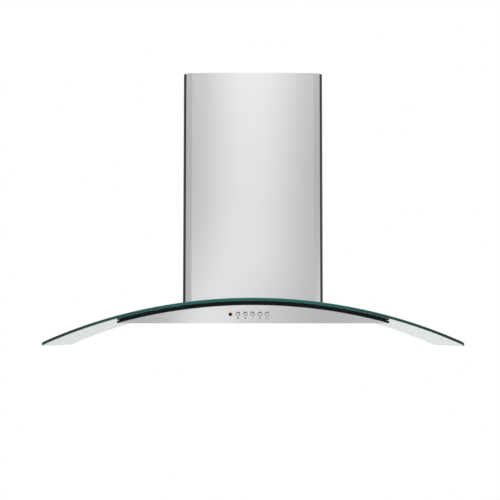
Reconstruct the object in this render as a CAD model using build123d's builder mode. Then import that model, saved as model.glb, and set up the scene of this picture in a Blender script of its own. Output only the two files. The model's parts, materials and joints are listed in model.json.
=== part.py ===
from build123d import *
from math import asin, cos, pi, radians, sin, sqrt
import os

# A wall-hung range hood with a curved glass canopy and a telescopic chimney.
# Millimetres. X runs to the right, +Z is up, the wall is the plane Y = 0 and the room is on
# the -Y side. The origin is the centre of the four wall screws.

# ---- Driving sizes -------------------------------------------------------------------------

# sheet metals and gaps
sheet = 1.2                    # body, fascia, pan and motor box
cover_sheet = 1.0              # chimney covers
seat_gap = 0.2                 # between curved faces that seat on each other
slip_gap = 0.3                 # between parts that slide or swing past each other
pin_gap = 0.05                 # radial running fit of pins and shafts

# height of the hood on its wall screws
fascia_drop = 200.0            # from the wall screws down to the lower edge of the fascia

# glass canopy
glass_width = 900.0
glass_depth = 500.0            # wall to the middle of the front edge
front_bow = 55.0               # how far the front edge bows past its two ends
glass_radius = 1124.0          # top face, about an axis that runs from the wall to the room
glass_thick = 6.0
glass_corner = 18.0
glass_wall_gap = 2.0
notch_gap = 3.0                # glass to motor box

# fascia and seal
fascia_height = 38.0           # at the middle
fascia_end = 0.8               # height left at its two tapering ends
fascia_setback = 20.0          # behind the front edge of the glass
fascia_flange = 14.0           # depth of its upper and lower returns
seal_height = 8.7
seal_depth = 13.0
seal_overhang = 2.5            # past each end of the fascia
seal_slot_height = 1.8
seal_slot_depth = 4.5
seal_slot_drop = 2.0           # under the top of the seal

# body shell and bottom pan
shell_pan_gap = 0.7            # arched sheet to the pan, where they meet at the sides
pan_rise = 6.0                 # pan above the lower edge of the fascia
rear_tab_inner = 148.0         # tabs of the rear panel that the shell is screwed to
rear_tab_inset = 10.0          # from the side of the shell
rear_tab_depth = 14.0
rear_screw_inset = 17.0        # from the ends of a tab
pad_radius = 10.0
pad_x = 205.0
pad_rear_y = 60.0
pad_front_y = 250.0

# grease filters
filter_inner_x = 19.0
filter_shell_gap = 1.3         # top of the filter to the arched sheet, at its outer side
filter_rear = 42.0
filter_lamp_gap = 39.0         # filters to the lamps
filter_height = 8.6
filter_lift = 0.8              # above the underside of the pan
filter_rim = 14.0
filter_corner = 3.0
filter_wall = 1.4
mesh_sheet = 1.6
mesh_columns = 12
mesh_rows = 19
mesh_bar = 2.2
hinge_y = 38.0
hinge_pin_radius = 2.0
hinge_pin_length = 3.6
ear_thick = 2.0
ear_half = 4.2
filter_play = 1.6              # filter to the edge of its opening

# filter latches
latch_width = 34.0
latch_length = 20.0
latch_height = 3.0
latch_tongue = 16.0
latch_travel = 6.0
latch_grip = 1.8
grip_play = 1.0                # grip to the ends of its slot

# cooking lamps
lamp_x = 120.0
lamp_setback = 108.0           # behind the front edge of the glass
lamp_radius = 27.0
lamp_shell_gap = 3.8           # top of its housing to the arched sheet
lamp_wall = 1.2
bezel_overlap = 7.0
bezel_thick = 1.6
bezel_edge = 1.0
lens_thick = 2.0

# push buttons and pilot lamp
button_count = 5
button_pitch = 15.2
button_shift = 1.2             # how far the row lies left of the middle
button_height = 19.6           # above the lower edge of the fascia
button_radius = 3.7
button_reach = 3.8             # from the fascia to the top of the dome
button_dome = 2.2
button_skirt = 6.0             # from the fascia inwards
button_travel = 3.0
stem_radius = 1.8
stem_length = 9.0
ring_wall = 0.45
ring_rim = 0.3
ring_thick = 0.8
ring_sleeve = 4.0
button_gap = 0.12              # radial, button to ring
pilot_pitch = 16.1             # from the first button
pilot_drop = 1.2               # below the row of buttons
pilot_radius = 4.0
pilot_stem = 2.6
pilot_reach = 1.6
pilot_length = 14.0

# switch housing
switch_height = 21.0           # stands on the pan
switch_margin = 9.0            # beyond the outer button and the pilot lamp
switch_depth = 21.0
switch_wall = 1.6
board_thick = 1.6

# motor box
box_cover_gap = 24.6           # side of the box to the side of the chimney
box_rear = 6.0
box_front = 240.0
box_rise = 55.0                # top of the box above the wall screws
box_foot = 9.0
box_ledge = 5.0                # walls to the edge of the air opening

# wall bracket
bracket_inset = 15.0           # from the side of the motor box
bracket_height = 60.0
bracket_sheet = 2.0
screw_radius = 2.75
screw_span_x = 200.0
screw_span_z = 36.0
hook_x = 76.0
hook_width = 26.0
hook_lift = 10.0
hook_sheet = 1.6
hook_play = 2.0

# glass clamps
clamp_rear_y = 70.0
clamp_front_y = 190.0
clamp_width = 24.0
clamp_reach = 16.0
clamp_leg = 26.0
clamp_sheet = 1.5
clamp_pad = 3.0
clamp_screw_drop = 8.0         # under the top of the clamp

# blower
scroll_gap = 2.3               # spiral to the rear of the motor box
scroll_rise = 138.0            # axis above the lower edge of the fascia
scroll_width = 100.0
scroll_wall = 1.5
scroll_radius = 72.0           # first quarter of the spiral
scroll_step = 10.0             # how much each quarter grows
scroll_mouth = 70.0            # outlet, from the wall to the room
scroll_flange = 30.0
inlet_radius = 50.0
inlet_lip = 7.0
impeller_radius = 62.0
impeller_width = 84.0
impeller_ring = 8.0
impeller_disc = 1.6
blade_count = 24
blade_thick = 1.2
blade_depth = 9.0
blade_angle = 40.0             # degrees
hub_radius = 9.0
hub_length = 24.0

# motor
motor_radius = 38.0
motor_length = 58.0
motor_wall = 2.5
motor_screw_inset = 6.0
motor_screw_count = 3
motor_screw_start = 90.0       # degrees
stator_bore = 20.0
stator_length = 34.0
rotor_clearance = 0.5
shaft_radius = 4.0
bearing_radius = 8.0
bearing_length = 8.0

# duct collar and flaps
duct_radius = 75.0
duct_wall = 1.5
collar_height = 50.0
collar_flange = 10.0
collar_sheet = 1.5
collar_screw_count = 4
collar_screw_start = 45.0      # degrees
flap_rise = 12.0               # pin above the box
flap_thick = 0.8
flap_play = 0.9
flap_pin_radius = 1.5
knuckle_wall = 1.3
stop_depth = 4.0
stop_thick = 1.0
knuckle_end = 2.0              # from the edge of the flap to its first knuckle
knuckle_web = 1.0              # overlap with the flap

# electrics on top of the motor box
junction_inset = 8.0           # from the side of the motor box
junction_y = 38.0
junction_width = 46.0
junction_depth = 50.0
junction_height = 30.0
junction_wall = 1.8
junction_lid = 2.0
junction_corner = 3.0
terminal_width = 16.0
terminal_depth = 36.0
terminal_height = 11.0
terminal_offset = 6.0          # from the middle of the box
terminal_pitch_x = 8.0
terminal_pitch_y = 11.0
terminal_hole_radius = 2.2
terminal_hole_depth = 4.0
gland_offset = 11.0            # from the middle of the box
gland_radius = 8.0
gland_neck = 6.0               # radius in the lid of the box
gland_nut = 2.0                # how far it reaches into the box
gland_bore = 4.0
gland_length = 12.0
capacitor_inset = 14.0         # from the side of the motor box
capacitor_y = 36.0
capacitor_radius = 15.0
capacitor_height = 52.0
capacitor_edge = 2.0
clip_sheet = 1.0
clip_height = 16.0

# chimney covers
cover_half = 159.6
cover_depth = 285.0            # wall to the middle of the front face
cover_height = 522.0           # above the top of the glass
cover_corner = 22.0
cover_return = 14.0            # rear edges, turned in along the wall
trim_strip = 6.6               # width of the corner trim on the front
trim_side_depth = 12.0         # flat part of the trim along the side
trim_lip = 8.0
trim_thick = 1.5               # lips of the trim behind the sheets
upper_gap = 1.6                # trim lips to the upper cover
tie_upper_gap = 22.7           # cover brackets to the lower edge of the upper cover
upper_drop = 6.0               # its top under the top of the outer cover
slide_pad_height = 30.0
slide_pad_width = 18.0
slide_pad_rear = 71.0          # wall to the rear pads
slide_pad_gap = 18.0           # front pads to the lips of the corner trim
tie_rise = 92.0                # cover brackets above the lower edge of the fascia
tie_trim_gap = 20.0            # cover brackets to the lips of the corner trim
tie_width = 22.0
tie_leg = 14.0
tie_sheet = 1.5
upper_bracket_height = 22.0
upper_bracket_flange = 16.0
upper_screw_inset = 110.0

# control cable
cable_radius = 3.0
cable_bend = 24.0
cable_inset = 37.0             # from the side of the motor box

# small screws
small_screw_radius = 1.9
small_head_radius = 3.6
small_head_height = 1.8
small_screw_length = 6.0
hole_gap = 0.1                 # radial, around screws, rings and the pilot lamp

# ---- Worked out from the driving sizes ------------------------------------------------------

bottom_z = -fascia_drop
glass_under = bottom_z + fascia_height + seal_height
glass_top = glass_under + glass_thick
arch_z = glass_top - glass_radius              # height of the axis that all the arches share
under_radius = glass_radius - glass_thick      # under the glass
arch_radius = under_radius - seal_height       # top edge of the fascia
shell_radius = arch_radius - sheet             # top of the body shell, under the fascia flange
shell_inner = shell_radius - sheet
bow_radius = ((glass_width / 2) ** 2 + front_bow ** 2) / (2 * front_bow)
bow_y = bow_radius - glass_depth
fascia_bow = bow_radius - fascia_setback
pan_z = bottom_z + pan_rise
pan_top = pan_z + sheet
filter_z = pan_z + filter_lift
lamp_y = glass_depth - lamp_setback
filter_front = lamp_y - lamp_radius - filter_lamp_gap
box_half = cover_half - box_cover_gap
trim_face_x = cover_half - trim_strip
box_top = box_rise
cover_top = glass_top + cover_height
slab_low = arch_z + sqrt(under_radius ** 2 - (glass_width / 2) ** 2) - glass_thick   # below the glass tips
slab_height = glass_top + glass_thick - slab_low
scroll_y = box_rear + sheet + scroll_gap + scroll_wall + scroll_step / 2 + scroll_radius
scroll_reach = scroll_step / 2 + scroll_radius + 2 * scroll_step   # axis to the room side of the spiral
collar_y = scroll_y + scroll_reach - scroll_mouth / 2              # over the blower outlet

os.makedirs("parts", exist_ok=True)


def arch_height(radius, x):
    """Height of an arch of the given radius at the side distance x."""
    return arch_z + sqrt(radius ** 2 - x ** 2)


def arch_half(radius, z):
    """Side distance at which an arch of the given radius comes down to a height."""
    return sqrt(radius ** 2 - (z - arch_z) ** 2)


def bow_front(radius, x):
    """Y of a bowed front of the given plan radius at the side distance x."""
    return bow_y - sqrt(radius ** 2 - x ** 2)


def arch_band(inner, outer, half_width):
    """Elevation between two arches that follow the glass."""
    with BuildSketch(Plane.XZ) as band:
        with Locations((0, arch_z)):
            Circle(outer)
            Circle(inner, mode=Mode.SUBTRACT)
        with Locations((0, arch_z + outer)):
            Rectangle(2 * half_width, outer, mode=Mode.INTERSECT)
    return band.sketch


def arch_segment(radius, half_width, low_z):
    """Elevation under an arch, down to a flat lower edge."""
    with BuildSketch(Plane.XZ) as segment:
        with Locations((0, arch_z)):
            Circle(radius)
        with Locations((0, low_z + radius / 2)):
            Rectangle(2 * half_width, radius, mode=Mode.INTERSECT)
    return segment.sketch


def bow_band(outer, depth, half_width):
    """Plan of a strip of even depth behind a bowed front."""
    with BuildSketch(Plane.XY.offset(slab_low)) as band:
        with Locations((0, bow_y)):
            Circle(outer)
            Circle(outer - depth, mode=Mode.SUBTRACT)
        with Locations((0, bow_y - outer)):
            Rectangle(2 * half_width, outer, mode=Mode.INTERSECT)
    return band.sketch


def bow_plate(radius, half_width, rear_y):
    """Plan of a plate with a straight rear edge and a bowed front."""
    with BuildSketch(Plane.XY.offset(slab_low)) as plate:
        with Locations((0, bow_y)):
            Circle(radius)
        with Locations((0, rear_y - radius / 2)):
            Rectangle(2 * half_width, radius, mode=Mode.INTERSECT)
    return plate.sketch


def box_plan(half_width, rear_y, front_y, z):
    """Plan of a rectangle between two distances from the wall."""
    with BuildSketch(Plane.XY.offset(z)) as plan:
        with Locations((0, -(rear_y + front_y) / 2)):
            Rectangle(2 * half_width, front_y - rear_y)
    return plan.sketch


def crossed(elevation, plan):
    """The solid that has the given elevation and the given plan."""
    with BuildPart() as block:
        extrude(elevation, amount=bow_radius)
        extrude(plan, amount=slab_height, mode=Mode.INTERSECT)
    return block.part


def cap_middle(radius, rise):
    """Middle of the arc of a round cap: its distance below the top and its distance from the axis."""
    ball = (radius ** 2 + rise ** 2) / (2 * rise)
    half_angle = asin(radius / ball) / 2
    return ball * (1 - cos(half_angle)), ball * sin(half_angle)


def save(solid, name):
    """Label a finished piece and write its file."""
    solid.label = name
    export_step(solid, "parts/" + name + ".step")


fascia_half = arch_half(arch_radius, bottom_z + fascia_end)
seal_half = fascia_half + seal_overhang
body_half = arch_half(shell_inner, pan_top + shell_pan_gap)
filter_outer_x = arch_half(shell_inner, filter_z + filter_height + filter_shell_gap)

# ---- Glass canopy ---------------------------------------------------------------------------

notch_half = box_half + notch_gap
notch_front = box_front + notch_gap

with BuildSketch(Plane.XY.offset(slab_low)) as glass_plan:
    with BuildLine():
        side_y = -(glass_depth - front_bow)
        front_edge = ThreePointArc((-glass_width / 2, side_y), (0, -glass_depth), (glass_width / 2, side_y))
        rear_y = -glass_wall_gap
        Polyline(front_edge @ 1, (glass_width / 2, rear_y), (-glass_width / 2, rear_y), front_edge @ 0)
    make_face()
    fillet(glass_plan.vertices().group_by(Axis.Y)[0], glass_corner)
    Rectangle(2 * notch_half, 2 * notch_front, mode=Mode.SUBTRACT)

glass_solid = crossed(arch_band(under_radius, glass_radius, glass_width / 2), glass_plan.sketch)
with BuildPart() as glass_canopy:
    add(glass_solid)
save(glass_canopy.part, "glass_canopy")

# ---- Seal between glass and fascia ----------------------------------------------------------

seal_top = under_radius - seat_gap
seal_solid = crossed(arch_band(arch_radius + seat_gap, seal_top, seal_half),
                     bow_band(fascia_bow, seal_depth, seal_half))
slot_top = seal_top - seal_slot_drop
seal_slots = crossed(arch_band(slot_top - seal_slot_height, slot_top, seal_half),
                     bow_band(fascia_bow, seal_depth, seal_half))
with BuildPart() as glass_seal:
    add(seal_solid)
    add(seal_slots, mode=Mode.SUBTRACT)
    add(crossed(arch_band(arch_radius + seat_gap, seal_top, seal_half - seal_slot_depth),
                bow_band(fascia_bow, seal_depth, seal_half)))
save(glass_seal.part, "glass_seal")

# ---- Front fascia ---------------------------------------------------------------------------

buttons_span = button_pitch * (button_count - 1)
button_xs = [button_pitch * i - buttons_span / 2 - button_shift for i in range(button_count)]
pilot_x = button_xs[0] - pilot_pitch
button_z = bottom_z + button_height
pilot_z = button_z - pilot_drop
ring_inner = button_radius + button_gap
ring_outer = ring_inner + ring_wall
button_hole = ring_outer + hole_gap

with BuildPart() as front_fascia:
    add(crossed(arch_segment(arch_radius, fascia_half, bottom_z),
                bow_band(fascia_bow, sheet, fascia_half)))
    add(crossed(arch_band(shell_radius, arch_radius, fascia_half),
                bow_band(fascia_bow, fascia_flange, fascia_half)))
    with BuildSketch(Plane.XZ) as lower_return:
        with Locations((0, bottom_z + sheet / 2)):
            Rectangle(2 * body_half, sheet)
    add(crossed(lower_return.sketch, bow_band(fascia_bow, fascia_flange, body_half)))
    with BuildSketch(Plane.XZ) as lip:
        with Locations((0, bottom_z + pan_rise / 2)):
            Rectangle(2 * body_half, pan_rise)
    lip_bow = fascia_bow - fascia_flange + sheet
    add(crossed(lip.sketch, bow_band(lip_bow, sheet, body_half)))
    with BuildSketch(Plane.XZ.offset(glass_depth - fascia_setback - fascia_flange / 2)):
        with Locations(*[(x, button_z) for x in button_xs]):
            Circle(button_hole)
        with Locations((pilot_x, pilot_z)):
            Circle(pilot_stem + hole_gap)
    extrude(amount=fascia_flange, mode=Mode.SUBTRACT)
save(front_fascia.part, "front_fascia")

# ---- Body shell: the arched sheet under the glass -------------------------------------------

shell_bow = fascia_bow - sheet - slip_gap
air_half = box_half - box_ledge
air_rear = box_rear + box_ledge
air_front = box_front - box_ledge
rear_tab_outer = body_half - rear_tab_inset
rear_screw_xs = (rear_tab_inner + rear_screw_inset, rear_tab_outer - rear_screw_inset)
foot_screw_x = box_half + box_foot / 2
foot_screw_ys = (clamp_rear_y - clamp_width,
                 (clamp_rear_y + clamp_front_y) / 2,
                 clamp_front_y + clamp_width)
foot_screw_spots = [(side * foot_screw_x, -y) for side in (-1, 1) for y in foot_screw_ys]
rear_screw_spots = [(side * x, -rear_tab_depth / 2) for side in (-1, 1) for x in rear_screw_xs]

with BuildPart() as body_shell:
    add(crossed(arch_band(shell_inner, shell_radius, body_half), bow_plate(shell_bow, body_half, 0)))
    extrude(box_plan(air_half, air_rear, air_front, slab_low), amount=slab_height, mode=Mode.SUBTRACT)
    with BuildSketch(Plane.XY.offset(slab_low)):
        with Locations(*foot_screw_spots, *rear_screw_spots):
            Circle(small_screw_radius + hole_gap)
    extrude(amount=slab_height, mode=Mode.SUBTRACT)
save(body_shell.part, "body_shell")

# ---- Bottom pan with its rear panel and the filter hinge ears -------------------------------

hinge_z = filter_z + filter_height / 2
filter_mid_x = (filter_inner_x + filter_outer_x) / 2
filter_width = filter_outer_x - filter_inner_x
opening_half = filter_width / 2 + filter_play
opening_rear = hinge_y - filter_height / 2 - filter_play
opening_front = filter_front + filter_play
opening_depth = opening_front - opening_rear
opening_spots = [(side * filter_mid_x, -(opening_rear + opening_front) / 2) for side in (-1, 1)]
ear_xs = [side * (x + out * (filter_play + ear_thick / 2))
          for side in (-1, 1) for x, out in ((filter_inner_x, -1), (filter_outer_x, 1))]
ear_top = hinge_z + ear_half

tab_radius = shell_inner - seat_gap
with BuildPart() as rear_tabs:
    add(crossed(arch_band(tab_radius - sheet, tab_radius, rear_tab_outer),
                box_plan(rear_tab_outer, 0, rear_tab_depth, slab_low)))
    with BuildSketch(Plane.XY.offset(slab_low)):
        Rectangle(2 * rear_tab_inner, 4 * rear_tab_depth)
        with Locations(*rear_screw_spots):
            Circle(small_screw_radius + hole_gap)
    extrude(amount=slab_height, mode=Mode.SUBTRACT)

with BuildPart() as bottom_pan:
    extrude(bow_plate(shell_bow, body_half, 0).moved(Location((0, 0, pan_z - slab_low))), amount=sheet)
    with BuildSketch(Plane.XY.offset(pan_z)):
        with Locations(*opening_spots):
            Rectangle(2 * opening_half, opening_depth)
        with Locations((-lamp_x, -lamp_y), (lamp_x, -lamp_y)):
            Circle(lamp_radius + slip_gap)
    extrude(amount=sheet, mode=Mode.SUBTRACT)
    # rear panel, flat against the wall under the arched sheet
    extrude(arch_segment(shell_inner - seat_gap, body_half, pan_z), amount=sheet)
    # tabs bent forward under the arched sheet, with their screw holes
    add(rear_tabs.part)
    # ears that carry the hinge pins of the filters
    for ear_x in ear_xs:
        with BuildSketch(Plane.YZ.offset(ear_x - ear_thick / 2)):
            with Locations((-hinge_y, (pan_top + ear_top) / 2)):
                Rectangle(2 * ear_half, ear_top - pan_top)
            with Locations((-hinge_y, hinge_z)):
                Circle(hinge_pin_radius + pin_gap, mode=Mode.SUBTRACT)
        extrude(amount=ear_thick)
save(bottom_pan.part, "bottom_pan")

# ---- Grease filters -------------------------------------------------------------------------

mesh_width = filter_width - 2 * filter_rim
mesh_depth = filter_front - filter_rear - 2 * filter_rim
mesh_pitch_x = mesh_width / mesh_columns
mesh_pitch_y = mesh_depth / mesh_rows
filter_mid_y = -(filter_rear + filter_front) / 2
latch_z = filter_z + filter_height - filter_wall - slip_gap - latch_height
latch_slot_half = latch_tongue / 2 + slip_gap
latch_back_y = -filter_front + filter_wall + slip_gap + latch_length
grip_slot_y = -filter_front + 2 * filter_wall
grip_slot_length = latch_grip + latch_travel + 2 * grip_play
mesh_hold = filter_rim - 2 * filter_wall - grip_play - latch_grip - latch_travel - slip_gap   # in the rim

for side, hand in ((-1, "left"), (1, "right")):
    middle = (side * filter_mid_x, filter_mid_y)
    with BuildPart() as filter_frame:
        with BuildSketch(Plane.XY.offset(filter_z)):
            with Locations(middle):
                RectangleRounded(filter_width, filter_front - filter_rear, filter_corner)
        extrude(amount=filter_height)
        with BuildSketch(Plane.XY.offset(filter_z + filter_wall)):
            with Locations(middle):
                Rectangle(filter_width - 2 * filter_wall, filter_front - filter_rear - 2 * filter_wall)
        extrude(amount=filter_height - 2 * filter_wall, mode=Mode.SUBTRACT)
        with BuildSketch(Plane.XY.offset(filter_z)):
            with Locations(middle):
                Rectangle(mesh_width, mesh_depth)
        extrude(amount=filter_height, mode=Mode.SUBTRACT)
        # slot in the front wall for the tongue and slot in the lower rim for the grip
        with BuildSketch(Plane.XZ.offset(filter_front - 2 * filter_wall)):
            with Locations((side * filter_mid_x, latch_z + latch_height / 2)):
                Rectangle(2 * latch_slot_half, latch_height + 2 * slip_gap)
        extrude(amount=3 * filter_wall, mode=Mode.SUBTRACT)
        with BuildSketch(Plane.XY.offset(filter_z)):
            with Locations((side * filter_mid_x, grip_slot_y + grip_slot_length / 2)):
                Rectangle(latch_tongue, grip_slot_length)
        extrude(amount=filter_wall, mode=Mode.SUBTRACT)
        # rear corners carry the hinge pins on two short arms
        for pin_side, pin_x in ((-side, filter_inner_x), (side, filter_outer_x)):
            with BuildSketch(Plane.YZ.offset(side * pin_x - pin_side * filter_wall)):
                with Locations((-hinge_y, hinge_z)):
                    Circle(hinge_pin_radius + filter_wall)
                with Locations((-(hinge_y + filter_rear) / 2 - filter_wall / 2, hinge_z)):
                    Rectangle(filter_rear - hinge_y + filter_wall, 2 * (hinge_pin_radius + filter_wall))
            extrude(amount=pin_side * filter_wall)
            with BuildSketch(Plane.YZ.offset(side * pin_x)):
                with Locations((-hinge_y, hinge_z)):
                    Circle(hinge_pin_radius)
            extrude(amount=pin_side * hinge_pin_length)
    save(filter_frame.part, "filter_frame_" + hand)

    with BuildPart() as filter_mesh:
        with BuildSketch(Plane.XY.offset(filter_z + filter_wall + slip_gap)):
            with Locations(middle):
                Rectangle(mesh_width + 2 * mesh_hold, mesh_depth + 2 * mesh_hold)
                with GridLocations(mesh_pitch_x, mesh_pitch_y, mesh_columns, mesh_rows):
                    Rectangle(mesh_pitch_x - mesh_bar, mesh_pitch_y - mesh_bar, mode=Mode.SUBTRACT)
        extrude(amount=mesh_sheet)
    save(filter_mesh.part, "filter_mesh_" + hand)

    with BuildPart() as filter_latch:
        with BuildSketch(Plane.XY.offset(latch_z)):
            with Locations((side * filter_mid_x, latch_back_y - latch_length / 2)):
                Rectangle(latch_width, latch_length)
            tongue_length = filter_wall + filter_play
            with Locations((side * filter_mid_x, latch_back_y - latch_length - tongue_length / 2)):
                Rectangle(latch_tongue, tongue_length)
        extrude(amount=latch_height)
        with BuildSketch(Plane.XY.offset(latch_z)):
            with Locations((side * filter_mid_x, grip_slot_y + grip_play + latch_grip / 2)):
                Rectangle(latch_tongue - 2 * slip_gap, latch_grip)
        extrude(amount=-(latch_z - filter_z))
    save(filter_latch.part, "filter_latch_" + hand)

# ---- Cooking lamps --------------------------------------------------------------------------

lamp_height = arch_height(shell_inner, lamp_x + lamp_radius) - lamp_shell_gap - pan_z
bezel_radius = lamp_radius + bezel_overlap
lens_radius = lamp_radius - lamp_wall - slip_gap
for side, hand in ((-1, "left"), (1, "right")):
    with BuildPart() as lamp_housing:
        with BuildSketch(Plane.XY.offset(pan_z)):
            with Locations((side * lamp_x, -lamp_y)):
                Circle(lamp_radius)
        extrude(amount=lamp_height)
        with BuildSketch(Plane.XY.offset(pan_z)):
            with Locations((side * lamp_x, -lamp_y)):
                Circle(lamp_radius - lamp_wall)
        extrude(amount=lamp_height - lamp_wall, mode=Mode.SUBTRACT)
    save(lamp_housing.part, "lamp_housing_" + hand)

    with BuildPart() as lamp_bezel:
        with BuildSketch(Plane.XY.offset(pan_z)):
            with Locations((side * lamp_x, -lamp_y)):
                Circle(bezel_radius)
                Circle(lens_radius - lamp_wall, mode=Mode.SUBTRACT)
        extrude(amount=-bezel_thick)
        fillet(lamp_bezel.faces().sort_by(Axis.Z)[0].outer_wire().edges(), bezel_edge)
    save(lamp_bezel.part, "lamp_bezel_" + hand)

    with BuildPart() as lamp_lens:
        with BuildSketch(Plane.XY.offset(pan_z)):
            with Locations((side * lamp_x, -lamp_y)):
                Circle(lens_radius)
        extrude(amount=lens_thick)
    save(lamp_lens.part, "lamp_lens_" + hand)

# ---- Push buttons, their rings and the pilot lamp -------------------------------------------

with BuildPart() as button_rings:
    for button_x in button_xs:
        face_y = bow_front(fascia_bow, button_x)
        with BuildSketch(Plane.XZ.offset(-face_y + ring_thick)):
            with Locations((button_x, button_z)):
                Circle(ring_outer + ring_rim)
        extrude(amount=-(ring_thick + sheet))
    with BuildSketch(Plane.XY.offset(slab_low)):
        with Locations((0, bow_y)):
            Circle(fascia_bow)
    extrude(amount=slab_height, mode=Mode.SUBTRACT)
    for button_x in button_xs:
        face_y = bow_front(fascia_bow, button_x)
        with BuildSketch(Plane.XZ.offset(-face_y + ring_thick)):
            with Locations((button_x, button_z)):
                Circle(ring_outer)
        extrude(amount=-(ring_thick + ring_sleeve))
        with BuildSketch(Plane.XZ.offset(-face_y + ring_thick)):
            with Locations((button_x, button_z)):
                Circle(ring_inner)
        extrude(amount=-(ring_thick + ring_sleeve), mode=Mode.SUBTRACT)
save(button_rings.part, "button_rings")

dome_down, dome_out = cap_middle(button_radius, button_dome)
for number, button_x in enumerate(button_xs, start=1):
    face_y = bow_front(fascia_bow, button_x)
    with BuildPart() as push_button:
        with BuildSketch(Plane.YZ.offset(button_x)):
            with BuildLine():
                dome_y = face_y - button_reach
                rim_y = dome_y + button_dome
                skirt_y = face_y + button_skirt
                dome = ThreePointArc((dome_y, button_z), (dome_y + dome_down, button_z + dome_out),
                                     (rim_y, button_z + button_radius))
                Polyline(dome @ 1, (skirt_y, button_z + button_radius), (skirt_y, button_z + stem_radius),
                         (skirt_y + stem_length, button_z + stem_radius), (skirt_y + stem_length, button_z),
                         dome @ 0)
            make_face()
        revolve(axis=Axis((button_x, 0, button_z), (0, 1, 0)))
    save(push_button.part, "button_" + str(number))

pilot_y = bow_front(fascia_bow, pilot_x)
crown_down, crown_out = cap_middle(pilot_radius, pilot_reach)
with BuildPart() as pilot_lamp:
    with BuildSketch(Plane.YZ.offset(pilot_x)):
        with BuildLine():
            seat_y = pilot_y - seat_gap
            crown = ThreePointArc((seat_y - pilot_reach, pilot_z),
                                  (seat_y - pilot_reach + crown_down, pilot_z + crown_out),
                                  (seat_y, pilot_z + pilot_radius))
            Polyline(crown @ 1, (seat_y, pilot_z + pilot_stem),
                     (seat_y + pilot_length, pilot_z + pilot_stem), (seat_y + pilot_length, pilot_z),
                     crown @ 0)
        make_face()
    revolve(axis=Axis((pilot_x, 0, pilot_z), (0, 1, 0)))
save(pilot_lamp.part, "pilot_lamp")

# ---- Switch housing and control board -------------------------------------------------------

switch_left = pilot_x - switch_margin
switch_right = button_xs[-1] + switch_margin
switch_mid = (switch_left + switch_right) / 2
switch_width = switch_right - switch_left
switch_z = pan_top
switch_front = -bow_front(fascia_bow - sheet, switch_left) - slip_gap   # distance from the wall
switch_rear = switch_front - switch_depth
guide_rear = -(bow_front(fascia_bow, 0) + button_skirt + button_travel + slip_gap)

with BuildPart() as switch_housing:
    with BuildSketch(Plane.XZ.offset(switch_rear)):
        with Locations((switch_mid, switch_z + switch_height / 2)):
            Rectangle(switch_width, switch_height)
    extrude(amount=switch_depth)
    # room for the board, open to the rear
    with BuildSketch(Plane.XZ.offset(switch_rear)):
        with Locations((switch_mid, switch_z + switch_height / 2)):
            Rectangle(switch_width - 2 * switch_wall, switch_height - 2 * switch_wall)
    extrude(amount=guide_rear - switch_wall - switch_rear, mode=Mode.SUBTRACT)
    # a well for each button and its ring, and a guide for its stem
    with BuildSketch(Plane.XZ.offset(guide_rear)):
        with Locations(*[(x, button_z) for x in button_xs]):
            Circle(ring_outer + seat_gap)
    extrude(amount=switch_depth, mode=Mode.SUBTRACT)
    with BuildSketch(Plane.XZ.offset(switch_rear)):
        with Locations(*[(x, button_z) for x in button_xs]):
            Circle(stem_radius + button_gap)
        with Locations((pilot_x, pilot_z)):
            Circle(pilot_stem + seat_gap)
    extrude(amount=switch_depth, mode=Mode.SUBTRACT)
save(switch_housing.part, "switch_housing")

with BuildPart() as control_board:
    with BuildSketch(Plane.XZ.offset(switch_rear)):
        with Locations((switch_mid, switch_z + switch_height / 2)):
            Rectangle(switch_width - 2 * switch_wall - 2 * seat_gap,
                      switch_height - 2 * switch_wall - 2 * seat_gap)
    extrude(amount=board_thick)
save(control_board.part, "control_board")

# ---- Wall bracket and motor box -------------------------------------------------------------

cover_sag = bow_radius - sqrt(bow_radius ** 2 - cover_half ** 2)
trim_rear_y = -(cover_depth - cover_sag - cover_corner - trim_side_depth)
lip_rear = -trim_rear_y - trim_lip             # wall to the lips of the corner trim
bracket_top = bracket_height / 2
hook_y = -(box_rear + sheet + slip_gap)        # rear face of the upstand of a hook
hook_tip = bracket_top + hook_lift
with BuildPart() as wall_bracket:
    with BuildSketch(Plane.XZ):
        Rectangle(2 * (box_half - bracket_inset), bracket_height)
        with GridLocations(screw_span_x, screw_span_z, 2, 2):
            Circle(screw_radius, mode=Mode.SUBTRACT)
    extrude(amount=bracket_sheet)
    for hook_side in (-1, 1):
        with BuildSketch(Plane.YZ.offset(hook_side * hook_x - hook_width / 2)):
            with BuildLine():
                Polyline((-bracket_sheet, bracket_top), (-bracket_sheet, bracket_top - hook_sheet),
                         (hook_y - hook_sheet, bracket_top - hook_sheet), (hook_y - hook_sheet, hook_tip),
                         (hook_y, hook_tip), (hook_y, bracket_top), (-bracket_sheet, bracket_top))
            make_face()
        extrude(amount=hook_width)
save(wall_bracket.part, "wall_bracket")

foot_radius = shell_radius + seat_gap
box_floor = arch_height(foot_radius, box_half + box_foot) - sheet
slot_height = hook_lift + hook_sheet + hook_play
duct_hole = duct_radius - duct_wall
collar_screw_circle = duct_radius + collar_flange / 2
clamp_screw_z = arch_height(glass_radius, box_half) + clamp_pad + clamp_leg - clamp_screw_drop
clamp_ys = (-clamp_rear_y, -clamp_front_y)
cable_y = -(box_front - box_ledge - cable_radius - 2 * slip_gap)
tie_z = bottom_z + tie_rise
tie_y = lip_rear - tie_trim_gap - tie_width / 2
cable_x = box_half - cable_inset
tie_screw_z = tie_z + tie_leg / 2
scroll_z = bottom_z + scroll_rise

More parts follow.
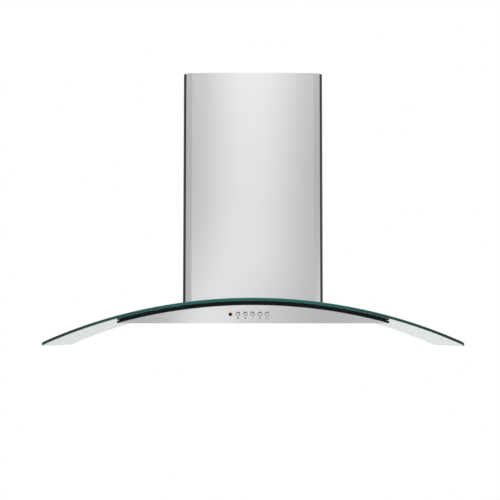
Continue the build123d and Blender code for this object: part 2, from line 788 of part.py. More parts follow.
with BuildPart() as motor_box:
    extrude(box_plan(box_half, box_rear, box_front, box_floor), amount=box_top - box_floor)
    extrude(box_plan(box_half - sheet, box_rear + sheet, box_front - sheet, box_floor),
            amount=box_top - sheet - box_floor, mode=Mode.SUBTRACT)
    # feet on the arched sheet, at the two sides
    foot_half = box_half + box_foot
    foot = crossed(arch_band(foot_radius, foot_radius + sheet, foot_half),
                   box_plan(foot_half, box_rear, box_front, slab_low))
    add(foot)
    extrude(box_plan(box_half - sheet, box_rear + sheet, box_front - sheet, slab_low),
            amount=slab_height, mode=Mode.SUBTRACT)
    # lower edges follow the arch
    with BuildSketch(Plane.XZ) as under:
        with Locations((0, arch_z)):
            Circle(foot_radius)
    extrude(under.sketch, amount=bow_radius, mode=Mode.SUBTRACT)
    with BuildSketch(Plane.XY.offset(slab_low)):
        with Locations(*foot_screw_spots):
            Circle(small_screw_radius + hole_gap)
    extrude(amount=slab_height, mode=Mode.SUBTRACT)
    # slots for the hooks of the wall bracket
    with BuildSketch(Plane.XZ.offset(box_rear)):
        with Locations(*[(s * hook_x, bracket_top + seat_gap - slot_height / 2) for s in (-1, 1)]):
            Rectangle(hook_width + 2 * hook_play, slot_height)
    extrude(amount=sheet, mode=Mode.SUBTRACT)
    # air outlet under the duct collar, with the holes of its screws
    with BuildSketch(Plane.XY.offset(box_top - sheet)):
        with Locations((0, -collar_y)):
            Circle(duct_hole)
            with PolarLocations(collar_screw_circle, collar_screw_count, collar_screw_start):
                Circle(small_screw_radius + hole_gap)
    extrude(amount=sheet, mode=Mode.SUBTRACT)
    with BuildSketch(Plane.XY.offset(box_top - sheet)):
        with Locations((cable_x, cable_y)):
            Circle(cable_radius + slip_gap)
    extrude(amount=sheet, mode=Mode.SUBTRACT)
    # side holes for the glass clamps and the cover brackets
    with BuildSketch(Plane.YZ.offset(-box_half)):
        with Locations(*[(y, clamp_screw_z) for y in clamp_ys], (-tie_y, tie_screw_z)):
            Circle(small_screw_radius + hole_gap)
    extrude(amount=2 * box_half, mode=Mode.SUBTRACT)
save(motor_box.part, "motor_box")

# ---- Clamps that hold the glass to the motor box --------------------------------------------

clamp_foot_z = arch_height(glass_radius, box_half + clamp_sheet) + clamp_pad
clamp_pad_inner = notch_half + slip_gap
with BuildPart() as glass_clamps:
    for side in (-1, 1):
        for clamp_y in clamp_ys:
            inner_x = side * box_half
            with BuildSketch(Plane.XZ.offset(-clamp_y - clamp_width / 2)):
                with BuildLine():
                    Polyline((inner_x, clamp_foot_z), (inner_x, clamp_foot_z + clamp_leg),
                             (inner_x + side * clamp_sheet, clamp_foot_z + clamp_leg),
                             (inner_x + side * clamp_sheet, clamp_foot_z + clamp_sheet),
                             (inner_x + side * clamp_reach, clamp_foot_z + clamp_sheet),
                             (inner_x + side * clamp_reach, clamp_foot_z), (inner_x, clamp_foot_z))
                make_face()
            extrude(amount=clamp_width)
    with BuildSketch(Plane.YZ.offset(-box_half - clamp_sheet)):
        with Locations(*[(y, clamp_screw_z) for y in clamp_ys]):
            Circle(small_screw_radius + hole_gap)
    extrude(amount=2 * (box_half + clamp_sheet), mode=Mode.SUBTRACT)
save(glass_clamps.part, "glass_clamps")

# rubber pads under the glass, on the shell, and over it, under the clamps
pad_spots = [(side * pad_x, -y) for side in (-1, 1) for y in (pad_rear_y, pad_front_y)]
with BuildPart() as upper_pads:
    pad_outer = box_half + clamp_reach
    for side in (-1, 1):
        for clamp_y in clamp_ys:
            with BuildSketch(Plane.XZ.offset(-clamp_y - clamp_width / 2)):
                with Locations((side * (clamp_pad_inner + pad_outer) / 2, clamp_foot_z - clamp_pad)):
                    Rectangle(pad_outer - clamp_pad_inner, 2 * clamp_pad)
            extrude(amount=clamp_width)
    extrude(arch_segment(glass_radius + seat_gap, glass_width / 2, slab_low), amount=glass_depth,
            mode=Mode.SUBTRACT)
with BuildPart() as glass_pads:
    with BuildSketch(Plane.XY.offset(slab_low)):
        with Locations(*pad_spots):
            Circle(pad_radius)
    extrude(amount=slab_height)
    extrude(arch_band(shell_radius + seat_gap, under_radius - seat_gap, body_half), amount=glass_depth,
            mode=Mode.INTERSECT)
    add(upper_pads.part)
save(glass_pads.part, "glass_pads")

# ---- Blower: scroll, inlet ring, impeller ---------------------------------------------------

axis_y = -scroll_y
half_step = scroll_step / 2
half_turn = sqrt(0.5)                          # sine and cosine of 45 degrees
scroll_half = scroll_width / 2
mouth_top = box_top - sheet


def scroll_outline(wall):
    """Side view of the spiral and its straight outlet, a wall's thickness larger all round.

    Local x points from the wall into the room and local y points up."""
    first = scroll_radius + wall
    second = first + scroll_step
    third = second + scroll_step
    room = half_step + third
    mouth_inner = half_step + third - scroll_mouth - 2 * wall
    cut_off = sqrt(first ** 2 - (mouth_inner + half_step) ** 2) - half_step
    view = Plane((0, axis_y, scroll_z), x_dir=(0, -1, 0), z_dir=(-1, 0, 0))
    with BuildSketch(view) as outline:
        with BuildLine():
            wall_side = (-half_step - first, -half_step)
            low = (half_step, -half_step - second)
            room_side = (room, half_step)
            rise = mouth_top - scroll_z
            ThreePointArc((mouth_inner, cut_off),
                          (-half_step - first * half_turn, -half_step + first * half_turn), wall_side)
            ThreePointArc(wall_side, (half_step - second * half_turn, -half_step - second * half_turn), low)
            ThreePointArc(low, (half_step + third * half_turn, half_step - third * half_turn), room_side)
            Polyline(room_side, (room, rise), (mouth_inner, rise), (mouth_inner, cut_off))
        make_face()
    return outline.sketch


motor_hole = shaft_radius + bearing_radius
motor_screw_circle = motor_radius - motor_screw_inset
with BuildPart() as scroll_housing:
    extrude(scroll_outline(scroll_wall), amount=scroll_half + scroll_wall, both=True)
    with BuildSketch(Plane.XY.offset(mouth_top)):
        with Locations((0, -collar_y)):
            Rectangle(scroll_width + 2 * scroll_flange, scroll_mouth + 2 * scroll_flange)
        with Locations((0, -collar_y)):
            with PolarLocations(collar_screw_circle, collar_screw_count, collar_screw_start):
                Circle(small_screw_radius + hole_gap, mode=Mode.SUBTRACT)
    extrude(amount=-scroll_wall)
    extrude(scroll_outline(0), amount=scroll_half, both=True, mode=Mode.SUBTRACT)
    with BuildSketch(Plane.YZ.offset(-scroll_half - scroll_wall)):
        with Locations((axis_y, scroll_z)):
            Circle(inlet_radius)
    extrude(amount=scroll_half, mode=Mode.SUBTRACT)
    with BuildSketch(Plane.YZ.offset(scroll_half)):
        with Locations((axis_y, scroll_z)):
            Circle(motor_hole)
            with PolarLocations(motor_screw_circle, motor_screw_count, motor_screw_start):
                Circle(small_screw_radius + hole_gap)
    extrude(amount=scroll_wall, mode=Mode.SUBTRACT)
save(scroll_housing.part, "scroll_housing")

blower_axis = Axis((0, axis_y, scroll_z), (1, 0, 0))
inlet_face = -(scroll_half + scroll_wall)
with BuildPart() as inlet_ring:
    with BuildSketch(Plane.XY.offset(scroll_z)):
        with BuildLine():
            neck_y = axis_y + inlet_radius - slip_gap
            throat_y = neck_y - sheet
            rim_y = axis_y + inlet_radius + inlet_lip
            flare = rim_y - throat_y
            Polyline((inlet_face - flare, rim_y), (inlet_face, rim_y), (inlet_face, neck_y),
                     (inlet_face + inlet_lip, neck_y), (inlet_face + inlet_lip, throat_y),
                     (inlet_face, throat_y))
            ThreePointArc((inlet_face, throat_y),
                          (inlet_face - flare * half_turn, throat_y + flare * (1 - half_turn)),
                          (inlet_face - flare, rim_y))
        make_face()
    revolve(axis=blower_axis)
save(inlet_ring.part, "inlet_ring")

impeller_half = impeller_width / 2
blade_mid = impeller_radius - impeller_ring / 2 - impeller_disc / 2
with BuildPart() as impeller:
    with BuildSketch(Plane.YZ.offset(impeller_half - impeller_disc)):
        with Locations((axis_y, scroll_z)):
            Circle(impeller_radius)
    extrude(amount=impeller_disc)
    with BuildSketch(Plane.YZ.offset(impeller_half - hub_length)):
        with Locations((axis_y, scroll_z)):
            Circle(hub_radius)
    extrude(amount=hub_length)
    with BuildSketch(Plane.YZ.offset(-impeller_half)):
        with Locations((axis_y, scroll_z)):
            Circle(impeller_radius)
            Circle(impeller_radius - impeller_ring, mode=Mode.SUBTRACT)
    extrude(amount=impeller_disc)
    with BuildSketch(Plane.YZ.offset(-impeller_half)):
        with Locations((axis_y, scroll_z)):
            with PolarLocations(blade_mid, blade_count):
                Rectangle(blade_depth, blade_thick, rotation=blade_angle)
    extrude(amount=impeller_width)
    with BuildSketch(Plane.YZ.offset(impeller_half - hub_length)):
        with Locations((axis_y, scroll_z)):
            Circle(shaft_radius)
    extrude(amount=hub_length, mode=Mode.SUBTRACT)
save(impeller.part, "impeller")

# ---- Motor: housing, stator, bearings, rotor on its shaft -----------------------------------

motor_start = scroll_half + scroll_wall
motor_end = motor_start + motor_length
stator_start = motor_start + (motor_length - stator_length) / 2
with BuildPart() as motor_housing:
    with BuildSketch(Plane.YZ.offset(motor_start)):
        with Locations((axis_y, scroll_z)):
            Circle(motor_radius)
    extrude(amount=motor_length)
    with BuildSketch(Plane.YZ.offset(motor_start + motor_wall)):
        with Locations((axis_y, scroll_z)):
            Circle(motor_radius - motor_wall)
    extrude(amount=motor_length - 2 * motor_wall, mode=Mode.SUBTRACT)
    with BuildSketch(Plane.YZ.offset(motor_start)):
        with Locations((axis_y, scroll_z)):
            Circle(bearing_radius)
            with PolarLocations(motor_screw_circle, motor_screw_count, motor_screw_start):
                Circle(small_screw_radius + hole_gap)
    extrude(amount=motor_wall, mode=Mode.SUBTRACT)
    with BuildSketch(Plane.YZ.offset(motor_end - motor_wall)):
        with Locations((axis_y, scroll_z)):
            Circle(bearing_radius)
    extrude(amount=motor_wall, mode=Mode.SUBTRACT)
save(motor_housing.part, "motor_housing")

with BuildPart() as motor_bearings:
    for bearing_start in (motor_start, motor_end - bearing_length):
        with BuildSketch(Plane.YZ.offset(bearing_start)):
            with Locations((axis_y, scroll_z)):
                Circle(bearing_radius)
                Circle(shaft_radius + pin_gap, mode=Mode.SUBTRACT)
        extrude(amount=bearing_length)
save(motor_bearings.part, "motor_bearings")

with BuildPart() as motor_stator:
    with BuildSketch(Plane.YZ.offset(stator_start)):
        with Locations((axis_y, scroll_z)):
            Circle(motor_radius - motor_wall)
            Circle(stator_bore, mode=Mode.SUBTRACT)
    extrude(amount=stator_length)
save(motor_stator.part, "motor_stator")

with BuildPart() as motor_rotor:
    with BuildSketch(Plane.YZ.offset(stator_start)):
        with Locations((axis_y, scroll_z)):
            Circle(stator_bore - rotor_clearance)
    extrude(amount=stator_length)
    with BuildSketch(Plane.YZ.offset(impeller_half - hub_length)):
        with Locations((axis_y, scroll_z)):
            Circle(shaft_radius)
    extrude(amount=motor_end - impeller_half + hub_length)
save(motor_rotor.part, "motor_rotor")

# ---- Duct collar and back-draught flaps -----------------------------------------------------

flap_z = box_top + flap_rise
flap_radius = duct_radius - duct_wall - flap_play
knuckle_radius = flap_pin_radius + pin_gap + knuckle_wall
knuckle_count = 4
knuckle_room = 2 * (flap_radius - knuckle_end)
knuckle_pitch = knuckle_room / knuckle_count
with BuildPart() as duct_collar:
    with BuildSketch(Plane.XY.offset(box_top)):
        with Locations((0, -collar_y)):
            Circle(duct_radius + collar_flange)
            with PolarLocations(collar_screw_circle, collar_screw_count, collar_screw_start):
                Circle(small_screw_radius + hole_gap, mode=Mode.SUBTRACT)
    extrude(amount=collar_sheet)
    with BuildSketch(Plane.XY.offset(box_top)):
        with Locations((0, -collar_y)):
            Circle(duct_radius)
    extrude(amount=collar_height)
    with BuildSketch(Plane.XY.offset(box_top)):
        with Locations((0, -collar_y)):
            Circle(duct_radius - duct_wall)
    extrude(amount=collar_height, mode=Mode.SUBTRACT)
    # ledge on which the closed flaps rest
    with BuildSketch(Plane.XY.offset(flap_z - flap_thick / 2 - slip_gap)):
        with Locations((0, -collar_y)):
            Circle(duct_radius)
            Circle(duct_radius - duct_wall - stop_depth, mode=Mode.SUBTRACT)
            Rectangle(2 * duct_radius, 4 * knuckle_radius, mode=Mode.SUBTRACT)
    extrude(amount=-stop_thick)
    with BuildSketch(Plane.YZ.offset(-duct_radius)):
        with Locations((-collar_y, flap_z)):
            Circle(flap_pin_radius)
    extrude(amount=2 * duct_radius, mode=Mode.SUBTRACT)
save(duct_collar.part, "duct_collar")

with BuildPart() as flap_pin:
    with BuildSketch(Plane.YZ.offset(-duct_radius)):
        with Locations((-collar_y, flap_z)):
            Circle(flap_pin_radius)
    extrude(amount=2 * duct_radius)
save(flap_pin.part, "flap_pin")

for side, name, first_knuckle in ((-1, "flap_front", 0), (1, "flap_rear", 1)):
    with BuildPart() as duct_flap:
        with BuildSketch(Plane.XY.offset(flap_z - flap_thick / 2)):
            with Locations((0, -collar_y)):
                Circle(flap_radius)
            with Locations((0, -collar_y + side * (flap_radius + knuckle_radius + slip_gap) / 2)):
                Rectangle(2 * flap_radius, flap_radius - knuckle_radius - slip_gap, mode=Mode.INTERSECT)
        extrude(amount=flap_thick)
        for turn in range(first_knuckle, knuckle_count, 2):
            knuckle_x = -knuckle_room / 2 + knuckle_pitch * turn + slip_gap
            knuckle_length = knuckle_pitch - 2 * slip_gap
            with BuildSketch(Plane.YZ.offset(knuckle_x)):
                with Locations((-collar_y, flap_z)):
                    Circle(knuckle_radius)
                web = knuckle_radius + slip_gap + knuckle_web
                with Locations((-collar_y + side * web / 2, flap_z)):
                    Rectangle(web, flap_thick)
                with Locations((-collar_y, flap_z)):
                    Circle(flap_pin_radius + pin_gap, mode=Mode.SUBTRACT)
            extrude(amount=knuckle_length)
    save(duct_flap.part, name)

# ---- Electrics on top of the motor box ------------------------------------------------------

junction_x = box_half - junction_inset - junction_width / 2
junction_mid = (junction_x, -junction_y)
with BuildPart() as junction_box:
    with BuildSketch(Plane.XY.offset(box_top)):
        with Locations(junction_mid):
            RectangleRounded(junction_width, junction_depth, junction_corner)
    extrude(amount=junction_height)
    with BuildSketch(Plane.XY.offset(box_top + junction_wall)):
        with Locations(junction_mid):
            Rectangle(junction_width - 2 * junction_wall, junction_depth - 2 * junction_wall)
    extrude(amount=junction_height, mode=Mode.SUBTRACT)
    cable_top = box_top + junction_height / 2
    with BuildSketch(Plane.XZ.offset(junction_y + junction_depth / 2)):
        with Locations((cable_x, cable_top)):
            Circle(cable_radius + seat_gap)
    extrude(amount=-junction_wall, mode=Mode.SUBTRACT)
save(junction_box.part, "junction_box")

gland_mid = (junction_x - gland_offset, -junction_y)
lid_z = box_top + junction_height
with BuildPart() as junction_cover:
    with BuildSketch(Plane.XY.offset(lid_z)):
        with Locations(junction_mid):
            RectangleRounded(junction_width, junction_depth, junction_corner)
        with Locations(gland_mid):
            Circle(gland_neck, mode=Mode.SUBTRACT)
    extrude(amount=junction_lid)
save(junction_cover.part, "junction_cover")

terminal_mid = (junction_x + terminal_offset, -junction_y)
with BuildPart() as terminal_block:
    with BuildSketch(Plane.XY.offset(box_top + junction_wall)):
        with Locations(terminal_mid):
            Rectangle(terminal_width, terminal_depth)
    extrude(amount=terminal_height)
    with BuildSketch(Plane.XY.offset(box_top + junction_wall + terminal_height)):
        with Locations(terminal_mid):
            with GridLocations(terminal_pitch_x, terminal_pitch_y, 2, 3):
                Circle(terminal_hole_radius)
    extrude(amount=-terminal_hole_depth, mode=Mode.SUBTRACT)
save(terminal_block.part, "terminal_block")

with BuildPart() as cable_gland:
    with BuildSketch(Plane.XY.offset(lid_z + junction_lid)):
        with Locations(gland_mid):
            RegularPolygon(gland_radius, 6)
    extrude(amount=gland_length)
    with BuildSketch(Plane.XY.offset(lid_z - gland_nut)):
        with Locations(gland_mid):
            Circle(gland_neck - seat_gap)
    extrude(amount=gland_nut + junction_lid)
    with BuildSketch(Plane.XY.offset(lid_z - gland_nut)):
        with Locations(gland_mid):
            Circle(gland_bore)
    extrude(amount=gland_nut + junction_lid + gland_length, mode=Mode.SUBTRACT)
save(cable_gland.part, "cable_gland")

capacitor_mid = (-(box_half - capacitor_inset - capacitor_radius), -capacitor_y)
with BuildPart() as run_capacitor:
    with BuildSketch(Plane.XY.offset(box_top)):
        with Locations(capacitor_mid):
            Circle(capacitor_radius)
    extrude(amount=capacitor_height)
    fillet(run_capacitor.faces().sort_by(Axis.Z)[-1].edges(), capacitor_edge)
save(run_capacitor.part, "run_capacitor")

with BuildPart() as capacitor_clip:
    with BuildSketch(Plane.XY.offset(box_top)):
        with Locations(capacitor_mid):
            Circle(capacitor_radius + seat_gap + clip_sheet)
            Circle(capacitor_radius + seat_gap, mode=Mode.SUBTRACT)
    extrude(amount=clip_height)
save(capacitor_clip.part, "capacitor_clip")

# ---- Chimney covers -------------------------------------------------------------------------

cover_low = arch_height(glass_radius, cover_half) - seat_gap
lip_inset = cover_sheet + trim_thick
upper_inset = lip_inset + upper_gap
full_cover = cover_top - cover_low


def cover_outline(inset, z):
    """Plan of the chimney, inset from its outer faces, up to the wall."""
    with BuildSketch(Plane.XY.offset(z)) as outline:
        with Locations((0, bow_radius - cover_depth)):
            Circle(bow_radius - inset)
        with Locations((0, -cover_depth)):
            Rectangle(2 * (cover_half - inset), 2 * cover_depth, mode=Mode.INTERSECT)
        fillet(outline.vertices().group_by(Axis.Y)[0], cover_corner - inset)
    return outline.sketch


def cover_layer(outer_inset, inner_inset, z, height):
    """Bent sheet between two insets of the chimney plan, open at the wall."""
    with BuildPart() as layer:
        extrude(cover_outline(outer_inset, z), amount=height)
        extrude(cover_outline(inner_inset, z), amount=height, mode=Mode.SUBTRACT)
    return layer.part


def plan_block(low_x, high_x, rear_y, front_y, z, height):
    """Upright block between two sides and two distances from the wall."""
    with BuildPart() as block:
        with BuildSketch(Plane.XY.offset(z)):
            with Locations(((low_x + high_x) / 2, -(rear_y + front_y) / 2)):
                Rectangle(abs(high_x - low_x), front_y - rear_y)
        extrude(amount=height)
    return block.part


def above_glass():
    """Solid under the lower edge of the chimney, taken off each cover."""
    with BuildPart() as bed:
        with BuildSketch(Plane.XZ):
            with Locations((0, arch_z)):
                Circle(glass_radius + seat_gap)
        extrude(amount=glass_depth)
    return bed.part


glass_bed = above_glass()
seam = seat_gap / 2
with BuildPart() as chimney_front:
    add(cover_layer(0, cover_sheet, cover_low, full_cover))
    add(plan_block(-trim_face_x + seam, trim_face_x - seam, cover_depth / 2, 2 * cover_depth,
                   cover_low, full_cover), mode=Mode.INTERSECT)
    add(glass_bed, mode=Mode.SUBTRACT)
save(chimney_front.part, "chimney_front")

for side, hand in ((-1, "left"), (1, "right")):
    with BuildPart() as chimney_side:
        add(cover_layer(0, cover_sheet, cover_low, full_cover))
        add(plan_block(0, side * 2 * cover_half, 0, -trim_rear_y - seam, cover_low, full_cover),
            mode=Mode.INTERSECT)
        add(plan_block(side * (cover_half - cover_return), side * (cover_half - cover_sheet / 2),
                       0, cover_sheet, cover_low, full_cover))
        add(glass_bed, mode=Mode.SUBTRACT)
        with BuildSketch(Plane.YZ.offset(side * cover_half)):
            with Locations((-tie_y, tie_screw_z)):
                Circle(small_screw_radius + hole_gap)
        extrude(amount=-side * 2 * cover_sheet, mode=Mode.SUBTRACT)
    save(chimney_side.part, "chimney_side_" + hand)

    with BuildPart() as corner_trim:
        add(cover_layer(0, cover_sheet, cover_low, full_cover))
        add(plan_block(side * trim_face_x, side * 2 * cover_half, -trim_rear_y, 2 * cover_depth,
                       cover_low, full_cover), mode=Mode.INTERSECT)
        lips = cover_layer(cover_sheet, lip_inset, cover_low, full_cover)
        lips = lips & plan_block(side * (trim_face_x - trim_lip), side * 2 * cover_half,
                                 -trim_rear_y - trim_lip, 2 * cover_depth, cover_low, full_cover)
        add(lips)
        add(glass_bed, mode=Mode.SUBTRACT)
    save(corner_trim.part, "corner_trim_" + hand)

# ---- Brackets between the motor box and the chimney sides -----------------------------------

tie_outer = cover_half - cover_sheet
with BuildPart() as cover_ties:
    for side in (-1, 1):
        with BuildSketch(Plane.XZ.offset(tie_y - tie_width / 2)):
            with BuildLine():
                Polyline((side * box_half, tie_z - tie_sheet), (side * box_half, tie_z + tie_leg),
                         (side * (box_half + tie_sheet), tie_z + tie_leg),
                         (side * (box_half + tie_sheet), tie_z), (side * (tie_outer - tie_sheet), tie_z),
                         (side * (tie_outer - tie_sheet), tie_z + tie_leg),
                         (side * tie_outer, tie_z + tie_leg), (side * tie_outer, tie_z - tie_sheet),
                         (side * box_half, tie_z - tie_sheet))
            make_face()
        extrude(amount=tie_width)
    with BuildSketch(Plane.YZ.offset(-tie_outer)):
        with Locations((-tie_y, tie_screw_z)):
            Circle(small_screw_radius + hole_gap)
    extrude(amount=2 * tie_outer, mode=Mode.SUBTRACT)
save(cover_ties.part, "cover_ties")

# ---- Upper cover, its wall bracket and the slide pads ---------------------------------------

upper_top = cover_top - upper_drop
upper_low = tie_z + tie_leg + tie_upper_gap
upper_height = upper_top - upper_low
upper_half = cover_half - upper_inset
upper_rear = cover_sheet + slip_gap
bracket_half = upper_half - cover_return + cover_sheet - 2 * slip_gap
bracket_z = upper_top - 2 * upper_bracket_height
bracket_screw_z = bracket_z + upper_bracket_height / 2
tab_outer = upper_half - cover_sheet
tab_front = 2 * upper_bracket_flange
tab_screw_y = 1.5 * upper_bracket_flange

with BuildPart() as upper_cover:
    add(cover_layer(upper_inset, upper_inset + cover_sheet, upper_low, upper_height))
    add(plan_block(-cover_half, cover_half, upper_rear, 2 * cover_depth, upper_low, upper_height),
        mode=Mode.INTERSECT)
    for side in (-1, 1):
        add(plan_block(side * (upper_half - cover_return + cover_sheet),
                       side * (upper_half - cover_sheet / 2),
                       upper_rear, upper_rear + cover_sheet, upper_low, upper_height))
    with BuildSketch(Plane.YZ.offset(-upper_half)):
        with Locations((-tab_screw_y, bracket_screw_z)):
            Circle(small_screw_radius + hole_gap)
    extrude(amount=2 * upper_half, mode=Mode.SUBTRACT)
save(upper_cover.part, "upper_cover")

with BuildPart() as upper_bracket:
    with BuildSketch(Plane.XY.offset(bracket_z)):
        with Locations((0, -tie_sheet / 2)):
            Rectangle(2 * bracket_half, tie_sheet)
        for side in (-1, 1):
            with Locations((side * (bracket_half - tie_sheet / 2), -upper_bracket_flange / 2)):
                Rectangle(tie_sheet, upper_bracket_flange)
            with Locations((side * (bracket_half - tie_sheet + tab_outer) / 2,
                            -upper_bracket_flange + tie_sheet / 2)):
                Rectangle(tab_outer - bracket_half + tie_sheet, tie_sheet)
            with Locations((side * (tab_outer - tie_sheet / 2), -(upper_bracket_flange + tab_front) / 2)):
                Rectangle(tie_sheet, tab_front - upper_bracket_flange)
    extrude(amount=upper_bracket_height)
    with BuildSketch(Plane.XZ):
        with Locations((-upper_screw_inset, bracket_screw_z), (upper_screw_inset, bracket_screw_z)):
            Circle(screw_radius)
    extrude(amount=tie_sheet, mode=Mode.SUBTRACT)
    with BuildSketch(Plane.YZ.offset(-tab_outer)):
        with Locations((-tab_screw_y, bracket_screw_z)):
            Circle(small_screw_radius + hole_gap)
    extrude(amount=2 * tab_outer, mode=Mode.SUBTRACT)
save(upper_bracket.part, "upper_bracket")

pad_face = cover_half - cover_sheet
pad_thick = pad_face - upper_half - slip_gap
slide_pad_ys = (slide_pad_rear, lip_rear - slide_pad_gap - slide_pad_width)
pad_levels = (cover_top - 2 * slide_pad_height, upper_low + slide_pad_height)
with BuildPart() as slide_pads:
    for side in (-1, 1):
        for pad_z in pad_levels:
            for pad_y in slide_pad_ys:
                add(plan_block(side * (pad_face - pad_thick), side * pad_face, pad_y, pad_y + slide_pad_width,
                               pad_z, slide_pad_height))
save(slide_pads.part, "slide_pads")

# ---- Screws ---------------------------------------------------------------------------------


def screw_set(places):
    """Pan-head screws, each seated on the plane of its head."""
    with BuildPart() as group:
        for place in places:
            with BuildSketch(place):
                Circle(small_head_radius)
            extrude(amount=small_head_height)
            with BuildSketch(place):
                Circle(small_screw_radius)
            extrude(amount=-small_screw_length)
    return group.part


def arch_seat(radius, spots):
    """Level seats that clear an arched sheet at the given spots."""
    return [Plane((x, y, arch_height(radius, abs(x) - small_head_radius))) for x, y in spots]


def side_seats(half, spots):
    """Seats on the left and right faces at the given depths and heights."""
    return [Plane((side * half, y, z), x_dir=(0, 1, 0), z_dir=(side, 0, 0))
            for side in (-1, 1) for y, z in spots]


foot_top = foot_radius + sheet
collar_angles = [radians(collar_screw_start + 360 / collar_screw_count * i)
                 for i in range(collar_screw_count)]
motor_angles = [radians(motor_screw_start + 360 / motor_screw_count * i)
                for i in range(motor_screw_count)]
screw_places = arch_seat(foot_top, foot_screw_spots) + arch_seat(shell_radius, rear_screw_spots)
screw_places += side_seats(box_half + clamp_sheet, [(y, clamp_screw_z) for y in clamp_ys])
screw_places += side_seats(box_half + tie_sheet, [(-tie_y, tie_screw_z)])
screw_places += side_seats(cover_half, [(-tie_y, tie_screw_z)])
screw_places += [Plane((collar_screw_circle * cos(a), -collar_y + collar_screw_circle * sin(a),
                        box_top + collar_sheet)) for a in collar_angles]
motor_screw_spots = [(axis_y + motor_screw_circle * cos(a), scroll_z + motor_screw_circle * sin(a))
                     for a in motor_angles]
screw_places += [Plane((scroll_half, y, z), x_dir=(0, 1, 0), z_dir=(-1, 0, 0)) for y, z in motor_screw_spots]
save(screw_set(screw_places), "small_screws")
save(screw_set(side_seats(upper_half, [(-tab_screw_y, bracket_screw_z)])), "upper_screws")

# ---- Control cable, from the board through the motor box to the junction box ----------------

cable_low = switch_z + switch_height / 2
route = [(0, -switch_rear, cable_low), (0, cable_y, cable_low), (cable_x, cable_y, scroll_z),
         (cable_x, cable_y, cable_top), (cable_x, -junction_y - junction_depth / 2 + junction_wall, cable_top)]
with BuildPart() as control_cable:
    with BuildLine() as cable_path:
        FilletPolyline(*route, radius=[cable_bend, 2 * cable_bend, cable_bend / 2])
    with BuildSketch(Plane.XZ.offset(switch_rear)):
        with Locations((0, cable_low)):
            Circle(cable_radius)
    sweep()
save(control_cable.part, "control_cable")
cable_length = sum(edge.length for edge in cable_path.edges())
print("cable length", round(cable_length, 1))
print("cable volume over section times length",
      round(control_cable.part.volume / (cable_length * pi * cable_radius ** 2), 4))
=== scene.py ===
import json
import math
import bmesh
import bpy
from mathutils import Matrix, Vector


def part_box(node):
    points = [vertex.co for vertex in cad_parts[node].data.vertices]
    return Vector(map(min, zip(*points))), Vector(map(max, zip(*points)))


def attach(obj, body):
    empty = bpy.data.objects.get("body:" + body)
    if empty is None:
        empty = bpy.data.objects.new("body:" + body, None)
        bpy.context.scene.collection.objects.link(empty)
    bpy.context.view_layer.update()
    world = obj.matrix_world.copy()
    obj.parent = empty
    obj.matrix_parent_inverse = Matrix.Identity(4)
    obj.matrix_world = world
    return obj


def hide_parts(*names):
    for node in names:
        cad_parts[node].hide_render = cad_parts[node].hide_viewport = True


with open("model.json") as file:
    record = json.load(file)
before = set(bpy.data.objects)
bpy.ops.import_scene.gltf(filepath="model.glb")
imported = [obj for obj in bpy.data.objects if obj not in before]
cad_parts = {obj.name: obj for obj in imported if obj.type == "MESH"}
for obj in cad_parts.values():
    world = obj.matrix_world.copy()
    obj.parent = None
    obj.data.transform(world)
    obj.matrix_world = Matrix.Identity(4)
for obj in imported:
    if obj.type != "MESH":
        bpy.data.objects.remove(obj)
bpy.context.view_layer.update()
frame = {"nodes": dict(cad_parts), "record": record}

# A wall-hung range hood: curved glass canopy, bowed steel fascia, steel chimney.
# Metres, in the frame of the CAD model: +X right, +Z up, the wall is Y = 0 and the room is -Y.

# ---- sizes shared with the CAD model --------------------------------------------------------

ARCH_Z = -1.2713               # height of the axis of all the arches
GLASS_TOP = 1.124              # radius of the upper face of the glass
GLASS_UNDER = 1.118            # radius of its lower face
BOW_Y = 1.36841                # axis of the bowed fronts
GLASS_BOW = 1.86841            # radius of the front edge of the glass, in plan
FASCIA_BOW = 1.84841           # radius of the face of the fascia, in plan
GLASS_HALF = 0.45
GLASS_REAR = -0.002
GLASS_CORNER = 0.018           # radius of its front corners
NOTCH_HALF = 0.138             # the notch in the glass lets the motor box through
NOTCH_FRONT = -0.243
BUTTON_XS = [-0.0316, -0.0164, -0.0012, 0.0140, 0.0292]
BUTTON_Z = -0.1804

# ---- sizes of the detail that is added here -------------------------------------------------

ARRIS = 0.0009                 # radius of the ground edge of the glass
FLAT_RIM = 2.2 * ARRIS         # a ring of points that keeps the shading of the faces flat
FRONT_STEPS = 150              # straight pieces along the bowed front
CORNER_STEPS = 9
NOTCH_MARGIN = 0.002           # no point nearer than this to a corner of the notch

STRAND_WIDTH = 0.0007          # expanded metal of the grease filters
STRAND_THICKNESS = 0.0006
STRAND_ROWS = 101
STRAND_HALF_PERIODS = 36
LAYER_LIFT = 0.0008            # from the lower layer to the upper one
MESH_SIDE_PLAY = 0.001         # of the width of the CAD plate
MESH_END_PLAY = 0.004          # of its depth, which leaves room for the waves
MESH_LIFT = 0.0004             # middle of the lower layer above the underside of the plate

HEAD_RADIUS = 0.0036           # pan-head screws
HEAD_HEIGHT = 0.0018
SHANK_RADIUS = 0.0019
SHANK_LENGTH = 0.006
RECESS_WIDTH = 0.0009
RECESS_LENGTH = 0.0036
RECESS_DEPTH = 0.0011

SIGN_DROP = 0.0090             # from a button's middle down to its sign
SIGN_STROKE = 0.0009
SIGN_HEIGHT = 0.0034
SIGN_PITCH = 0.0022            # between two strokes
SIGN_HALF_FILM = 0.00001       # half the thickness of the print
SIGN_LIFT = 0.00003            # middle of the print in front of the fascia

FLOOR_Z = -0.78
FLOOR_REACH = 6.0              # to the left, to the right and to the front
FLOOR_BACK = 0.3


def arch_height(radius, x):
    """Height of an arch at the side distance x."""
    return ARCH_Z + math.sqrt(radius ** 2 - x ** 2)


def bow_front(radius, x):
    """Y of a bowed front at the side distance x."""
    return BOW_Y - math.sqrt(radius ** 2 - x ** 2)


